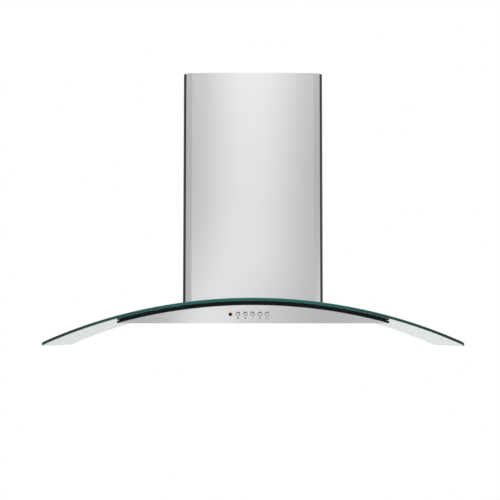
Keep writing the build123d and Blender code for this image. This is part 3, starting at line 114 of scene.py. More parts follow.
# ---- small helpers for node trees -----------------------------------------------------------


def place(tree, kind, feeds=None, **settings):
    """Adds a node, sets its attributes, and feeds its inputs with numbers or with other outputs."""
    node = tree.nodes.new(kind)
    for key, value in settings.items():
        setattr(node, key, value)
    for key, value in (feeds or {}).items():
        if isinstance(value, bpy.types.NodeSocket):
            tree.links.new(value, node.inputs[key])
        else:
            node.inputs[key].default_value = value
    return node


def calc(tree, operation, *values):
    """One Math node, whose output is returned."""
    return place(tree, "ShaderNodeMath", dict(enumerate(values)), operation=operation).outputs[0]


def swing(tree, value):
    """A value from 0 to 1, moved so that it swings round zero."""
    return calc(tree, "SUBTRACT", value, 0.5)


def blend(tree, factor, first, second):
    """A number that goes from the first to the second as the factor goes from 0 to 1."""
    return place(tree, "ShaderNodeMix", {0: factor, 2: first, 3: second}, data_type="FLOAT").outputs[0]


def ramp(tree, value, start, end, low=0.0, high=1.0, kind="SMOOTHSTEP"):
    """A number that goes from low to high while the value goes from start to end."""
    return place(tree, "ShaderNodeMapRange", {
        "Value": value, "From Min": start, "From Max": end, "To Min": low, "To Max": high},
        interpolation_type=kind).outputs[0]


def combined(tree, x=0.0, y=0.0, z=0.0):
    """A vector from its three parts."""
    return place(tree, "ShaderNodeCombineXYZ", {0: x, 1: y, 2: z}).outputs[0]


def scaled(tree, color, factor):
    """A colour made stronger or weaker by a factor."""
    return place(tree, "ShaderNodeVectorMath", {0: color, "Scale": factor}, operation="SCALE").outputs[0]


def noise(tree, where, scale, detail, roughness=0.5):
    """The outputs of a noise texture."""
    return place(tree, "ShaderNodeTexNoise", {
        "Vector": where, "Scale": scale, "Detail": detail, "Roughness": roughness}).outputs


def object_coords(tree):
    """Places on the piece itself, which stay with it when it moves."""
    return place(tree, "ShaderNodeTexCoord").outputs["Object"]


def shader_group(name, inputs, outputs):
    """An empty shader group with named inputs and outputs."""
    tree = bpy.data.node_groups.new(name, "ShaderNodeTree")
    for label, kind, value in inputs:
        tree.interface.new_socket(label, in_out="INPUT", socket_type=kind).default_value = value
    for label, kind in outputs:
        tree.interface.new_socket(label, in_out="OUTPUT", socket_type=kind)
    return tree, tree.nodes.new("NodeGroupInput").outputs, tree.nodes.new("NodeGroupOutput").inputs


# ---- shader groups used by more than one finish ---------------------------------------------


def grain_group():
    """Fine drawn grain: noise stretched along one direction, in two sizes."""
    tree, given, out = shader_group(
        "drawn_grain",
        [("Stretch", "NodeSocketVector", (400.0, 400.0, 6.0)), ("Blotch", "NodeSocketFloat", 0.35)],
        [("Grain", "NodeSocketFloat"), ("Cloud", "NodeSocketFloat")])
    coords = object_coords(tree)
    stretched = place(tree, "ShaderNodeMapping", {"Vector": coords, "Scale": given["Stretch"]}).outputs[0]
    fine = noise(tree, stretched, 6.0, 4.0, 0.65)[0]
    coarse = noise(tree, stretched, 1.3, 2.0)[0]
    tree.links.new(blend(tree, given["Blotch"], fine, coarse), out["Grain"])
    tree.links.new(noise(tree, coords, 9.0, 3.0)[0], out["Cloud"])
    return tree


def skin_group():
    """Skin of moulded plastic or rubber: fine pits, with slow changes of gloss."""
    tree, given, out = shader_group(
        "moulded_skin",
        [("Pit Scale", "NodeSocketFloat", 2600.0), ("Haze Scale", "NodeSocketFloat", 30.0)],
        [("Height", "NodeSocketFloat"), ("Haze", "NodeSocketFloat")])
    coords = object_coords(tree)
    pits = place(tree, "ShaderNodeTexVoronoi", {"Vector": coords, "Scale": given["Pit Scale"]},
                 feature="SMOOTH_F1").outputs["Distance"]
    tree.links.new(pits, out["Height"])
    tree.links.new(noise(tree, coords, given["Haze Scale"], 5.0, 0.6)[0], out["Haze"])
    return tree


def spangle_group():
    """Crystals of zinc on galvanised sheet, with their borders bent by noise."""
    tree, given, out = shader_group(
        "zinc_spangle",
        [("Crystal Scale", "NodeSocketFloat", 130.0), ("Crystal Contrast", "NodeSocketFloat", 0.4)],
        [("Shade", "NodeSocketFloat"), ("Height", "NodeSocketFloat")])
    coords = object_coords(tree)
    bend = 0.012
    moved = place(tree, "ShaderNodeVectorMath", {
        0: noise(tree, coords, 60.0, 2.0)["Color"], 1: (bend, bend, bend)}, operation="MULTIPLY").outputs[0]
    spots = place(tree, "ShaderNodeVectorMath", {0: coords, 1: moved}, operation="ADD").outputs[0]
    cells = place(tree, "ShaderNodeTexVoronoi", {"Vector": spots, "Scale": given["Crystal Scale"]})
    tone = place(tree, "ShaderNodeSeparateColor", {0: cells.outputs["Color"]}).outputs[0]
    tree.links.new(calc(tree, "MULTIPLY", swing(tree, tone), given["Crystal Contrast"]), out["Shade"])
    tree.links.new(cells.outputs["Distance"], out["Height"])
    return tree


GRAIN = grain_group()
SKIN = skin_group()
SPANGLE = spangle_group()


# ---- finishes -------------------------------------------------------------------------------


def finish(name, color, roughness=0.5, metallic=0.0, **extra):
    """A material with its shader, ready for its pattern. The extras are named after its sockets."""
    material = bpy.data.materials.new(name)
    material.use_nodes = True
    tree = material.node_tree
    shader = tree.nodes["Principled BSDF"]
    shader.inputs["Base Color"].default_value = (*color, 1.0)
    shader.inputs["Roughness"].default_value = roughness
    shader.inputs["Metallic"].default_value = metallic
    for key, value in extra.items():
        label = key.replace("_", " ").title().replace("Ior", "IOR")
        shader.inputs[label].default_value = value
    return material, tree, shader


def shaded(tree, color, change, strength):
    """The base colour, made lighter and darker by a value that swings round zero."""
    return scaled(tree, color, calc(tree, "MULTIPLY_ADD", change, strength, 1.0))


def bumped(tree, shader, height, strength, distance):
    """Feeds the shader's normal from a height in metres."""
    bump = place(tree, "ShaderNodeBump", {"Height": height, "Strength": strength, "Distance": distance})
    tree.links.new(bump.outputs[0], shader.inputs["Normal"])


def drawn_metal(name, color, roughness, stretch, contrast=0.10, bump=0.25, spread=0.14):
    """Rolled or brushed metal with its grain along the least stretched direction."""
    material, tree, shader = finish(name, color, roughness, 1.0)
    pattern = place(tree, "ShaderNodeGroup", node_tree=GRAIN)
    pattern.inputs["Stretch"].default_value = stretch
    grain = swing(tree, pattern.outputs["Grain"])
    cloud = swing(tree, pattern.outputs["Cloud"])
    cloud_gloss, grain_depth = 0.05, 0.00004
    tree.links.new(shaded(tree, color, grain, contrast), shader.inputs["Base Color"])
    rough = calc(tree, "MULTIPLY_ADD", grain, spread, roughness)
    tree.links.new(calc(tree, "MULTIPLY_ADD", cloud, cloud_gloss, rough), shader.inputs["Roughness"])
    bumped(tree, shader, pattern.outputs["Grain"], bump, grain_depth)
    return material


def skinned(tree, shader, color, roughness, contrast, gloss, bump, depth, pit_scale):
    """Gives a shader the fine pits and the uneven gloss of a moulded surface."""
    pattern = place(tree, "ShaderNodeGroup", node_tree=SKIN)
    pattern.inputs["Pit Scale"].default_value = pit_scale
    haze = swing(tree, pattern.outputs["Haze"])
    tree.links.new(shaded(tree, color, haze, contrast), shader.inputs["Base Color"])
    tree.links.new(calc(tree, "MULTIPLY_ADD", haze, gloss, roughness), shader.inputs["Roughness"])
    bumped(tree, shader, pattern.outputs["Height"], bump, depth)


def moulded(name, color, roughness, pit_scale=2600.0, depth=0.00003, **extra):
    """Moulded plastic, rubber or lacquer with a fine skin and uneven gloss."""
    material, tree, shader = finish(name, color, roughness, **extra)
    skinned(tree, shader, color, roughness, contrast=0.12, gloss=0.22, bump=0.6, depth=depth,
            pit_scale=pit_scale)
    return material


def lamp_lens():
    """Frosted lamp lens with a fine moulded pattern."""
    color = (0.93, 0.94, 0.93)
    material, tree, shader = finish("frosted_glass", color, 0.35, transmission_weight=0.75, ior=1.48)
    skinned(tree, shader, color, 0.38, contrast=0.05, gloss=0.2, bump=0.8, depth=0.0004, pit_scale=900.0)
    return material


def galvanised(name, color):
    """Zinc-coated sheet with a small spangle."""
    roughness = 0.42
    material, tree, shader = finish(name, color, roughness, 0.85)
    pattern = place(tree, "ShaderNodeGroup", node_tree=SPANGLE).outputs
    tree.links.new(shaded(tree, color, pattern["Shade"], 1.0), shader.inputs["Base Color"])
    tree.links.new(calc(tree, "MULTIPLY_ADD", pattern["Shade"], 0.5, roughness), shader.inputs["Roughness"])
    bumped(tree, shader, pattern["Height"], 0.35, 0.0003)
    return material


def clear_glass():
    """Clear float glass, green where it is seen edge on, with a painted glow along its ground edge."""
    clear, edge_tint = (1.0, 1.0, 1.0, 1.0), (0.10, 0.38, 0.33, 1.0)
    # colour of the painted glow that the ground edge gives off, though it is no lamp
    painted_edge_glow = (0.0, 0.085, 0.072)
    painted_glow_full, painted_glow_end = 0.16, 0.40           # side distances between which the painted glow fades
    edge_satin = 0.45
    smear_from, smear_gloss = 0.62, 0.12       # faint smears where the haze is thickest
    material, tree, shader = finish("canopy_glass", clear[:3], 0.0, transmission_weight=1.0, ior=1.5,
                                    specular_ior_level=0.35)
    pattern = place(tree, "ShaderNodeGroup", node_tree=SKIN)
    pattern.inputs["Haze Scale"].default_value = 7.0
    smear = calc(tree, "MAXIMUM", calc(tree, "SUBTRACT", pattern.outputs["Haze"], smear_from), 0.0)
    ground = place(tree, "ShaderNodeAttribute", attribute_name="ground_edge").outputs["Fac"]
    satin = calc(tree, "MULTIPLY", ground, edge_satin)
    tree.links.new(calc(tree, "MULTIPLY_ADD", smear, smear_gloss, satin), shader.inputs["Roughness"])
    tint = place(tree, "ShaderNodeMix", {0: ground, 6: clear, 7: edge_tint}, data_type="RGBA").outputs[2]
    tree.links.new(tint, shader.inputs["Base Color"])
    # painted glow: emission on the ground edge that stands in for light gathered from the whole pane,
    # stronger along the middle
    side = calc(tree, "ABSOLUTE", place(tree, "ShaderNodeSeparateXYZ", {0: object_coords(tree)}).outputs[0])
    middle = ramp(tree, side, painted_glow_full, painted_glow_end, 1.0, 0.0, kind="LINEAR")
    painted_glow = scaled(tree, painted_edge_glow, calc(tree, "MULTIPLY", ground, middle))
    tree.links.new(painted_glow, shader.inputs["Emission Color"])
    shader.inputs["Emission Strength"].default_value = 1.0
    absorb = place(tree, "ShaderNodeVolumeAbsorption", {"Color": (0.0, 0.655, 0.61, 1.0), "Density": 20.0})
    tree.links.new(absorb.outputs[0], tree.nodes["Material Output"].inputs["Volume"])
    return material


def circuit_board():
    """Green lacquer over copper tracks."""
    base = (0.012, 0.10, 0.045)
    material, tree, shader = finish("board_green", base, 0.3, coat_weight=0.4)
    tracks = place(tree, "ShaderNodeTexBrick", {
        "Vector": object_coords(tree), "Color1": (*base, 1.0), "Color2": (0.016, 0.14, 0.06, 1.0),
        "Mortar": (0.03, 0.20, 0.085, 1.0), "Scale": 220.0, "Mortar Size": 0.06}).outputs
    tree.links.new(tracks["Color"], shader.inputs["Base Color"])
    bumped(tree, shader, tracks["Fac"], 0.5, 0.00004)
    return material


# how far the grain noise is squeezed along each axis; the grain runs along the small number
VERTICAL = (420.0, 420.0, 7.0)
LEVEL = (7.0, 420.0, 420.0)
TURNED = (60.0, 500.0, 500.0)
CAST = (900.0, 900.0, 900.0)

FINE_DRAWN = dict(bump=0.10, spread=0.08)
POLISHED = dict(contrast=0.03, spread=0.05)
GLOSSY_SKIN = dict(depth=0.00001)

finishes = {
    "canopy_glass": clear_glass(),
    "seal_rubber": moulded("seal_rubber", (0.005, 0.008, 0.009), 0.55, 1800.0, specular_ior_level=0.14),
    "chimney_steel": drawn_metal("chimney_steel", (0.66, 0.665, 0.675), 0.21, VERTICAL, 0.035, **FINE_DRAWN),
    "brushed_steel": drawn_metal("brushed_steel", (0.61, 0.615, 0.625), 0.20, LEVEL, 0.045, **FINE_DRAWN),
    # painted reflection: near-black trims stand in for the dark reflection in the chimney's rounded corners
    "corner_trim": moulded("corner_trim", (0.022, 0.023, 0.023), 0.42, 2200.0, specular_ior_level=0.2),
    "filter_aluminium": drawn_metal("filter_aluminium", (0.70, 0.71, 0.72), 0.38, LEVEL, 0.12),
    "latch_plastic": moulded("latch_plastic", (0.055, 0.055, 0.06), 0.45),
    "galvanised_steel": galvanised("galvanised_steel", (0.52, 0.54, 0.55)),
    "lamp_chrome": drawn_metal("lamp_chrome", (0.78, 0.78, 0.79), 0.12, LEVEL, bump=0.05, **POLISHED),
    "frosted_glass": lamp_lens(),
    "ring_black": moulded("ring_black", (0.012, 0.012, 0.013), 0.22, 3200.0, **GLOSSY_SKIN),
    "pilot_red": moulded("pilot_red", (0.16, 0.012, 0.006), 0.26, 3200.0, specular_ior_level=0.12,
                         **GLOSSY_SKIN),
    "button_chrome": drawn_metal("button_chrome", (0.74, 0.74, 0.75), 0.07, LEVEL, bump=0.04, **POLISHED),
    "black_plastic": moulded("black_plastic", (0.022, 0.022, 0.024), 0.5),
    "board_green": circuit_board(),
    "blower_grey": moulded("blower_grey", (0.20, 0.21, 0.22), 0.48),
    "motor_steel": drawn_metal("motor_steel", (0.42, 0.43, 0.44), 0.42, TURNED, 0.18),
    "bearing_brass": drawn_metal("bearing_brass", (0.62, 0.44, 0.17), 0.36, (40.0, 600.0, 600.0), 0.2),
    "box_plastic": moulded("box_plastic", (0.50, 0.51, 0.51), 0.46),
    "terminal_white": moulded("terminal_white", (0.78, 0.78, 0.75), 0.4),
    "capacitor_white": moulded("capacitor_white", (0.82, 0.82, 0.79), 0.3, 3000.0, **GLOSSY_SKIN),
    "zinc_screw": drawn_metal("zinc_screw", (0.66, 0.65, 0.60), 0.30, CAST, 0.25),
    "cable_grey": moulded("cable_grey", (0.16, 0.16, 0.17), 0.5, 1500.0),
    "mark_grey": moulded("mark_grey", (0.10, 0.10, 0.105), 0.5, 4000.0, **GLOSSY_SKIN),
}

# steel sheets that stand upright have their grain upright too
UPRIGHT = ("chimney_front", "chimney_side_left", "chimney_side_right", "upper_cover")
slots = {entry["node"]: entry["material_slot"] for entry in frame["record"]["subparts"]}
for node_name, node in frame["nodes"].items():
    chosen = finishes["chimney_steel" if node_name in UPRIGHT else slots[node_name]]
    node.data.materials.clear()
    node.data.materials.append(chosen)


# ---- meshes ---------------------------------------------------------------------------------


def keep_piece(mesh, name, material, body, slot, *stands_for, crease=35.0):
    """Links a mesh in place, gives it its finish, and lets it ride on its body."""
    mesh.materials.clear()
    mesh.materials.append(finishes[material])
    for face in mesh.polygons:
        face.use_smooth = True
    mesh.set_sharp_from_angle(angle=math.radians(crease))
    piece = bpy.data.objects.new(name, mesh)
    bpy.context.scene.collection.objects.link(piece)
    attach(piece, body)
    if stands_for:
        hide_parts(*stands_for)


def mesh_of(name, points, faces):
    """A mesh from points and faces, with its faces turned outwards."""
    mesh = bpy.data.meshes.new(name)
    mesh.from_pydata(points, [], faces)
    shell = bmesh.new()
    shell.from_mesh(mesh)
    bmesh.ops.recalc_face_normals(shell, faces=shell.faces)
    shell.to_mesh(mesh)
    shell.free()
    return mesh


# ---- the glass ------------------------------------------------------------------------------


def glass_front():
    """The front edge of the glass in plan, from left to right, with its rounded corners."""
    # each corner is a circle that touches the bowed front and the straight side
    ring_x = GLASS_HALF - GLASS_CORNER
    ring_y = BOW_Y - math.sqrt((GLASS_BOW - GLASS_CORNER) ** 2 - ring_x ** 2)
    lean = math.atan2(ring_x, BOW_Y - ring_y)          # where the circle leaves the bow
    touch_x = GLASS_BOW * math.sin(lean)
    bow = []
    for i in range(FRONT_STEPS + 1):
        x = -touch_x + 2 * touch_x * i / FRONT_STEPS
        bow.append((x, bow_front(GLASS_BOW, x)))
    corner = []
    for i in range(1, CORNER_STEPS + 1):
        turn = lean + (math.pi / 2 - lean) * i / CORNER_STEPS
        corner.append((ring_x + GLASS_CORNER * math.sin(turn), ring_y - GLASS_CORNER * math.cos(turn)))
    return [(-x, y) for x, y in reversed(corner)] + bow + corner


def glass_rear(front):
    """The rear edge in plan, from right to left, with a point behind each point of the front."""
    beside = [x for x, _ in front if x > NOTCH_HALF + NOTCH_MARGIN][:-1]
    within = [x for x, _ in front if abs(x) < NOTCH_HALF - NOTCH_MARGIN]
    right = [(GLASS_HALF, GLASS_REAR)] + [(x, GLASS_REAR) for x in reversed(beside)]
    notch = [(NOTCH_HALF, GLASS_REAR), (NOTCH_HALF, NOTCH_FRONT)]
    notch += [(x, NOTCH_FRONT) for x in reversed(within)]
    notch += [(-NOTCH_HALF, NOTCH_FRONT), (-NOTCH_HALF, GLASS_REAR)]
    left = [(-x, GLASS_REAR) for x in beside] + [(-GLASS_HALF, GLASS_REAR)]
    return right + notch + left


def inset(loop, distance):
    """A closed plan loop moved inwards by a distance."""
    moved = []
    count = len(loop)
    for i, (x, y) in enumerate(loop):
        ax, ay = loop[i - 1]
        bx, by = loop[(i + 1) % count]
        before = Vector((x - ax, y - ay)).normalized()
        after = Vector((bx - x, by - y)).normalized()
        left = Vector((-before.y, before.x)) + Vector((-after.y, after.x))
        scale = 2 * distance / max(left.length_squared, 1e-9)
        moved.append((x + left.x * scale, y + left.y * scale))
    return moved


def glass_rings(loop):
    """Points of the glass in rings round its edge, from the upper face to the lower one."""
    profile = [(FLAT_RIM, 0.0), (ARRIS, 0.0)]
    for degrees in (22.5, 45.0, 67.5, 90.0):
        turn = math.radians(degrees)
        profile.append((ARRIS * (1 - math.sin(turn)), ARRIS * (1 - math.cos(turn))))
    points, starts = [], []
    for radius, way in ((GLASS_TOP, -1), (GLASS_UNDER, 1)):
        layer = []
        for distance, drop in profile:
            layer.append(len(points))
            for x, y in inset(loop, distance):
                points.append((x, y, arch_height(radius, x) + way * drop))
        starts += layer if way < 0 else layer[::-1]
    return points, starts


def arched_strips(loop, front_count):
    """Faces of one arched side: a strip from each stretch of the front edge to the rear edge."""
    behind = {}
    for i in range(front_count, len(loop)):
        behind.setdefault(round(loop[i][0], 6), []).append(i)

    def rear_points(x, within):
        """The rear points at a side distance: one, or both ends of a side of the notch."""
        nearest = min(behind, key=lambda key: abs(key - x))
        found = sorted(behind[nearest], key=lambda i: loop[i][1])
        return found[:1] if within else found

    strips = []
    for i in range(front_count - 1):
        left_x, right_x = loop[i][0], loop[i + 1][0]
        within = abs((left_x + right_x) / 2) < NOTCH_HALF
        strips.append([i, i + 1] + rear_points(right_x, within) + rear_points(left_x, within)[::-1])
    return strips


def glass_piece():
    """The canopy: two arched faces joined by side walls with a rounded arris."""
    front = glass_front()
    loop = front + glass_rear(front)
    count = len(loop)
    points, starts = glass_rings(loop)
    faces = []
    for low, high in zip(starts, starts[1:]):
        for i in range(count):
            j = (i + 1) % count
            faces.append((low + i, low + j, high + j, high + i))
    strips = arched_strips(loop, len(front))
    for start in (starts[0], starts[-1]):
        faces += [[start + i for i in strip] for strip in strips]
    mesh = mesh_of("glass_sheet", points, faces)
    ground = mesh.attributes.new("ground_edge", "FLOAT", "POINT")
    polished = {start + i for start in starts[:2] + starts[-2:] for i in range(count)}
    for i in range(len(points)):
        ground.data[i].value = 0.0 if i in polished else 1.0
    keep_piece(mesh, "glass_sheet", "canopy_glass", "hood", "canopy_glass", "glass_canopy", crease=60.0)


glass_piece()


# ---- what repeats: strands of the grease filters, and screws --------------------------------


def geometry_tree(name, inputs):
    """An empty Geometry Nodes tree with named inputs."""
    tree = bpy.data.node_groups.new(name, "GeometryNodeTree")
    tree.interface.new_socket("Geometry", in_out="INPUT", socket_type="NodeSocketGeometry")
    for label, kind in inputs:
        tree.interface.new_socket(label, in_out="INPUT", socket_type=kind)
    tree.interface.new_socket("Geometry", in_out="OUTPUT", socket_type="NodeSocketGeometry")
    return tree, tree.nodes.new("NodeGroupInput").outputs, tree.nodes.new("NodeGroupOutput").inputs


def plain_result(tree, geometry, material, out):
    """Ends a tree: its instances become real and get their finish."""
    real = place(tree, "GeometryNodeRealizeInstances", {"Geometry": geometry}).outputs[0]
    done = place(tree, "GeometryNodeSetMaterial", {"Geometry": real, "Material": material}).outputs[0]
    tree.links.new(done, out["Geometry"])


def joined(tree, *geometries):
    """Several geometries as one."""
    join = place(tree, "GeometryNodeJoinGeometry")
    for geometry in geometries:
        tree.links.new(geometry, join.inputs[0])
    return join.outputs[0]


def shifted(tree, geometry, offset):
    """A geometry moved by an offset."""
    return place(tree, "GeometryNodeTransform", {"Geometry": geometry, "Translation": offset}).outputs[0]


def grown(name, base, tree, values):
    """The plain mesh that a tree makes from a base mesh and its named inputs."""
    carrier = bpy.data.objects.new(name + "_carrier", base)
    bpy.context.scene.collection.objects.link(carrier)
    modifier = carrier.modifiers.new(name, "NODES")
    modifier.node_group = tree
    for item in tree.interface.items_tree:
        if item.in_out == "INPUT" and item.name in values:
            modifier[item.identifier] = values[item.name]
    bpy.context.view_layer.update()
    graph = bpy.context.evaluated_depsgraph_get()
    mesh = bpy.data.meshes.new_from_object(carrier.evaluated_get(graph))
    carrier.modifiers.remove(modifier)
    bpy.data.objects.remove(carrier)
    mesh.name = name
    return mesh


def centred_line(tree, count, steps, step, axis, extra=None):
    """A line of points with its middle at zero, and with an extra side offset if one is given."""
    stride = combined(tree, **{axis: step})
    line = place(tree, "GeometryNodeMeshLine", {"Count": count, "Offset": stride}).outputs[0]
    back = calc(tree, "MULTIPLY", calc(tree, "MULTIPLY", steps, step), -0.5)
    offset = combined(tree, **{axis: back, **(extra or {})})
    return place(tree, "GeometryNodeSetPosition", {"Geometry": line, "Offset": offset}).outputs[0]


def expanded_metal_tree(material):
    """Expanded metal: zigzag strands, each second one turned over, in two layers."""
    tree, given, out = geometry_tree("expanded_metal", [
        ("Half Periods", "NodeSocketInt"), ("Half Pitch", "NodeSocketFloat"), ("Wave", "NodeSocketFloat"),
        ("Rows", "NodeSocketInt"), ("Row Step", "NodeSocketFloat"), ("Strand Width", "NodeSocketFloat"),
        ("Strand Thickness", "NodeSocketFloat"), ("Layer Shift", "NodeSocketVector")])
    odd = calc(tree, "MODULO", place(tree, "GeometryNodeInputIndex").outputs[0], 2.0)
    side = calc(tree, "MULTIPLY", calc(tree, "MULTIPLY_ADD", odd, 2.0, -1.0), given["Wave"])
    zigzag = centred_line(tree, calc(tree, "ADD", given["Half Periods"], 1.0), given["Half Periods"],
                          given["Half Pitch"], "x", {"y": side})
    curve = place(tree, "GeometryNodeMeshToCurve", {"Mesh": zigzag}).outputs[0]
    section = place(tree, "GeometryNodeCurvePrimitiveQuadrilateral", {
        "Width": given["Strand Width"], "Height": given["Strand Thickness"]}).outputs[0]
    strand = place(tree, "GeometryNodeCurveToMesh", {"Curve": curve, "Profile Curve": section,
                                                     "Fill Caps": True}).outputs[0]
    rows = centred_line(tree, given["Rows"], calc(tree, "SUBTRACT", given["Rows"], 1.0),
                        given["Row Step"], "y")
    half_turn = combined(tree, x=calc(tree, "MULTIPLY", odd, math.pi))
    layer = place(tree, "GeometryNodeInstanceOnPoints", {"Points": rows, "Instance": strand,
                                                         "Rotation": half_turn}).outputs[0]
    both = joined(tree, layer, shifted(tree, layer, given["Layer Shift"]))
    plain_result(tree, both, material, out)
    return tree


def filter_meshes():
    """The grease meshes, in the space of the CAD plates."""
    tree = expanded_metal_tree(finishes["filter_aluminium"])
    for hand in ("left", "right"):
        node = "filter_mesh_" + hand
        low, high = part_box(node)
        wide = high.x - low.x - MESH_SIDE_PLAY
        row_step = (high.y - low.y - MESH_END_PLAY) / (STRAND_ROWS - 1)
        mesh = grown(node + "_strands", bpy.data.meshes.new(node + "_base"), tree, {
            "Half Periods": STRAND_HALF_PERIODS, "Half Pitch": wide / STRAND_HALF_PERIODS,
            "Wave": row_step / 2, "Rows": STRAND_ROWS, "Row Step": row_step,
            "Strand Width": STRAND_WIDTH, "Strand Thickness": STRAND_THICKNESS,
            "Layer Shift": (0.0, 0.0, LAYER_LIFT)})
        middle = (low + high) / 2
        mesh.transform(Matrix.Translation((middle.x, middle.y, low.z + MESH_LIFT)))
        keep_piece(mesh, node + "_strands", "filter_aluminium", "filter_" + hand, "filter_aluminium", node)


filter_meshes()


def loose_parts(node):
    """Corner points of each separate solid of a CAD node."""
    shell = bmesh.new()
    shell.from_mesh(node.data)
    bmesh.ops.remove_doubles(shell, verts=shell.verts, dist=1e-6)
    parts, seen = [], set()
    for start in shell.verts:
        if start in seen:
            continue
        stack, part = [start], []
        seen.add(start)
        while stack:
            vert = stack.pop()
            part.append(vert.co.copy())
            for edge in vert.link_edges:
                other = edge.other_vert(vert)
                if other not in seen:
                    seen.add(other)
                    stack.append(other)
        parts.append(part)
    shell.free()
    return parts


def screw_seats(node):
    """Seat and direction of each screw of a CAD node, read from its heads."""
    seats = []
    for part in loose_parts(node):
        low = Vector([min(p[i] for p in part) for i in range(3)])
        high = Vector([max(p[i] for p in part) for i in range(3)])
        size = high - low
        along = max(range(3), key=lambda i: size[i])
        middle = (low + high) / 2
        # only the head reaches this far from the axis
        wide = [p for p in part
                if max(abs(p[i] - middle[i]) for i in range(3) if i != along) > HEAD_RADIUS * 0.8]
        ends = sorted({round(p[along], 5) for p in wide})
        up = 1.0 if abs(high[along] - ends[-1]) < 1e-4 else -1.0
        seat = middle.copy()
        seat[along] = ends[0] if up > 0 else ends[-1]
        way = Vector((0.0, 0.0, 0.0))
        way[along] = up
        seats.append((seat, way))
    return seats


def block(tree, x, y, z):
    """A block of three sizes round zero."""
    return place(tree, "GeometryNodeMeshCube", {"Size": combined(tree, x, y, z)}).outputs[0]


def screw_tree(material):
    """Pan-head screws with a cross recess, one on each point, along its seat axis."""
    tree, given, out = geometry_tree("cross_screws", [
        ("Head Radius", "NodeSocketFloat"), ("Head Height", "NodeSocketFloat"),
        ("Shank Radius", "NodeSocketFloat"), ("Shank Length", "NodeSocketFloat"),
        ("Recess Width", "NodeSocketFloat"), ("Recess Length", "NodeSocketFloat"),
        ("Recess Depth", "NodeSocketFloat")])
    ball = place(tree, "GeometryNodeMeshUVSphere", {"Segments": 32, "Rings": 16, "Radius": 1.0}).outputs[0]
    sizes = combined(tree, given["Head Radius"], given["Head Radius"], given["Head Height"])
    head = place(tree, "GeometryNodeTransform", {"Geometry": ball, "Scale": sizes}).outputs[0]
    # the lower half of the dome is cut away, and then the two bars of the cross
    side = calc(tree, "MULTIPLY", given["Head Radius"], 4.0)
    lower = combined(tree, z=calc(tree, "MULTIPLY", side, -0.5))
    tools = [shifted(tree, block(tree, side, side, side), lower)]
    lift = combined(tree, z=given["Head Height"])
    twice = calc(tree, "MULTIPLY", given["Recess Depth"], 2.0)
    for first, second in (("Recess Width", "Recess Length"), ("Recess Length", "Recess Width")):
        tools.append(shifted(tree, block(tree, given[first], given[second], twice), lift))
    for tool in tools:
        cut = place(tree, "GeometryNodeMeshBoolean", operation="DIFFERENCE")
        tree.links.new(head, cut.inputs[0])
        tree.links.new(tool, cut.inputs[1])
        head = cut.outputs[0]
    shank = place(tree, "GeometryNodeMeshCylinder", {"Vertices": 16, "Radius": given["Shank Radius"],
                                                     "Depth": given["Shank Length"]}).outputs[0]
    sink = combined(tree, z=calc(tree, "MULTIPLY", given["Shank Length"], -0.5))
    screw = joined(tree, head, shifted(tree, shank, sink))
    axis = place(tree, "GeometryNodeInputNamedAttribute", {"Name": "seat_axis"}, data_type="FLOAT_VECTOR")
    turn = place(tree, "FunctionNodeAlignRotationToVector", {"Vector": axis.outputs[0]}, axis="Z")
    spots = place(tree, "GeometryNodeMeshToPoints", {"Mesh": given["Geometry"]}).outputs[0]
    spread = place(tree, "GeometryNodeInstanceOnPoints", {"Points": spots, "Instance": screw,
                                                          "Rotation": turn.outputs[0]}).outputs[0]
    plain_result(tree, spread, material, out)
    return tree


def screws():
    """Screws with a cross recess where the CAD model has plain ones."""
    tree = screw_tree(finishes["zinc_screw"])
    for node, body in (("small_screws", "hood"), ("upper_screws", "telescopic_cover")):
        seats = screw_seats(frame["nodes"][node])
        base = bpy.data.meshes.new(node + "_seats")
        base.from_pydata([seat for seat, _ in seats], [], [])
        ways = base.attributes.new("seat_axis", "FLOAT_VECTOR", "POINT")
        for i, (_, way) in enumerate(seats):
            ways.data[i].vector = way
        mesh = grown(node + "_cross", base, tree, {
            "Head Radius": HEAD_RADIUS, "Head Height": HEAD_HEIGHT, "Shank Radius": SHANK_RADIUS,
            "Shank Length": SHANK_LENGTH, "Recess Width": RECESS_WIDTH, "Recess Length": RECESS_LENGTH,
            "Recess Depth": RECESS_DEPTH})
        keep_piece(mesh, node + "_cross", "zinc_screw", body, "zinc_screw", node)


screws()


# ---- signs under the buttons ----------------------------------------------------------------


def sign_mesh(name, rings=(), bars=()):
    """A flat printed sign, in its own plane, made of oval rings and of bars."""
    sign = bmesh.new()
    steps = 32
    for half_wide, half_high in rings:
        loops = []
        for z in (-SIGN_HALF_FILM, SIGN_HALF_FILM):
            for slim in (0.0, SIGN_STROKE):
                loops.append([sign.verts.new(((half_wide - slim) * math.cos(2 * math.pi * i / steps),
                                              (half_high - slim) * math.sin(2 * math.pi * i / steps), z))
                              for i in range(steps)])
        for a, b in ((0, 1), (1, 3), (3, 2), (2, 0)):
            for i in range(steps):
                j = (i + 1) % steps
                sign.faces.new((loops[a][i], loops[a][j], loops[b][j], loops[b][i]))
    for (x, y), (wide, high), turn in bars:
        bar = bmesh.ops.create_cube(sign, size=1.0)["verts"]
        bmesh.ops.scale(sign, vec=(wide, high, 2 * SIGN_HALF_FILM), verts=bar)
        bmesh.ops.rotate(sign, cent=(0, 0, 0), matrix=Matrix.Rotation(turn, 3, "Z"), verts=bar)
        bmesh.ops.translate(sign, vec=(x, y, 0.0), verts=bar)
    bmesh.ops.recalc_face_normals(sign, faces=sign.faces)
    mesh = bpy.data.meshes.new(name)
    sign.to_mesh(mesh)
    sign.free()
    return mesh


def strokes(count):
    """Upright strokes side by side, as on a speed button."""
    return [((SIGN_PITCH * (i - (count - 1) / 2), 0.0), (SIGN_STROKE, SIGN_HEIGHT), 0.0)
            for i in range(count)]


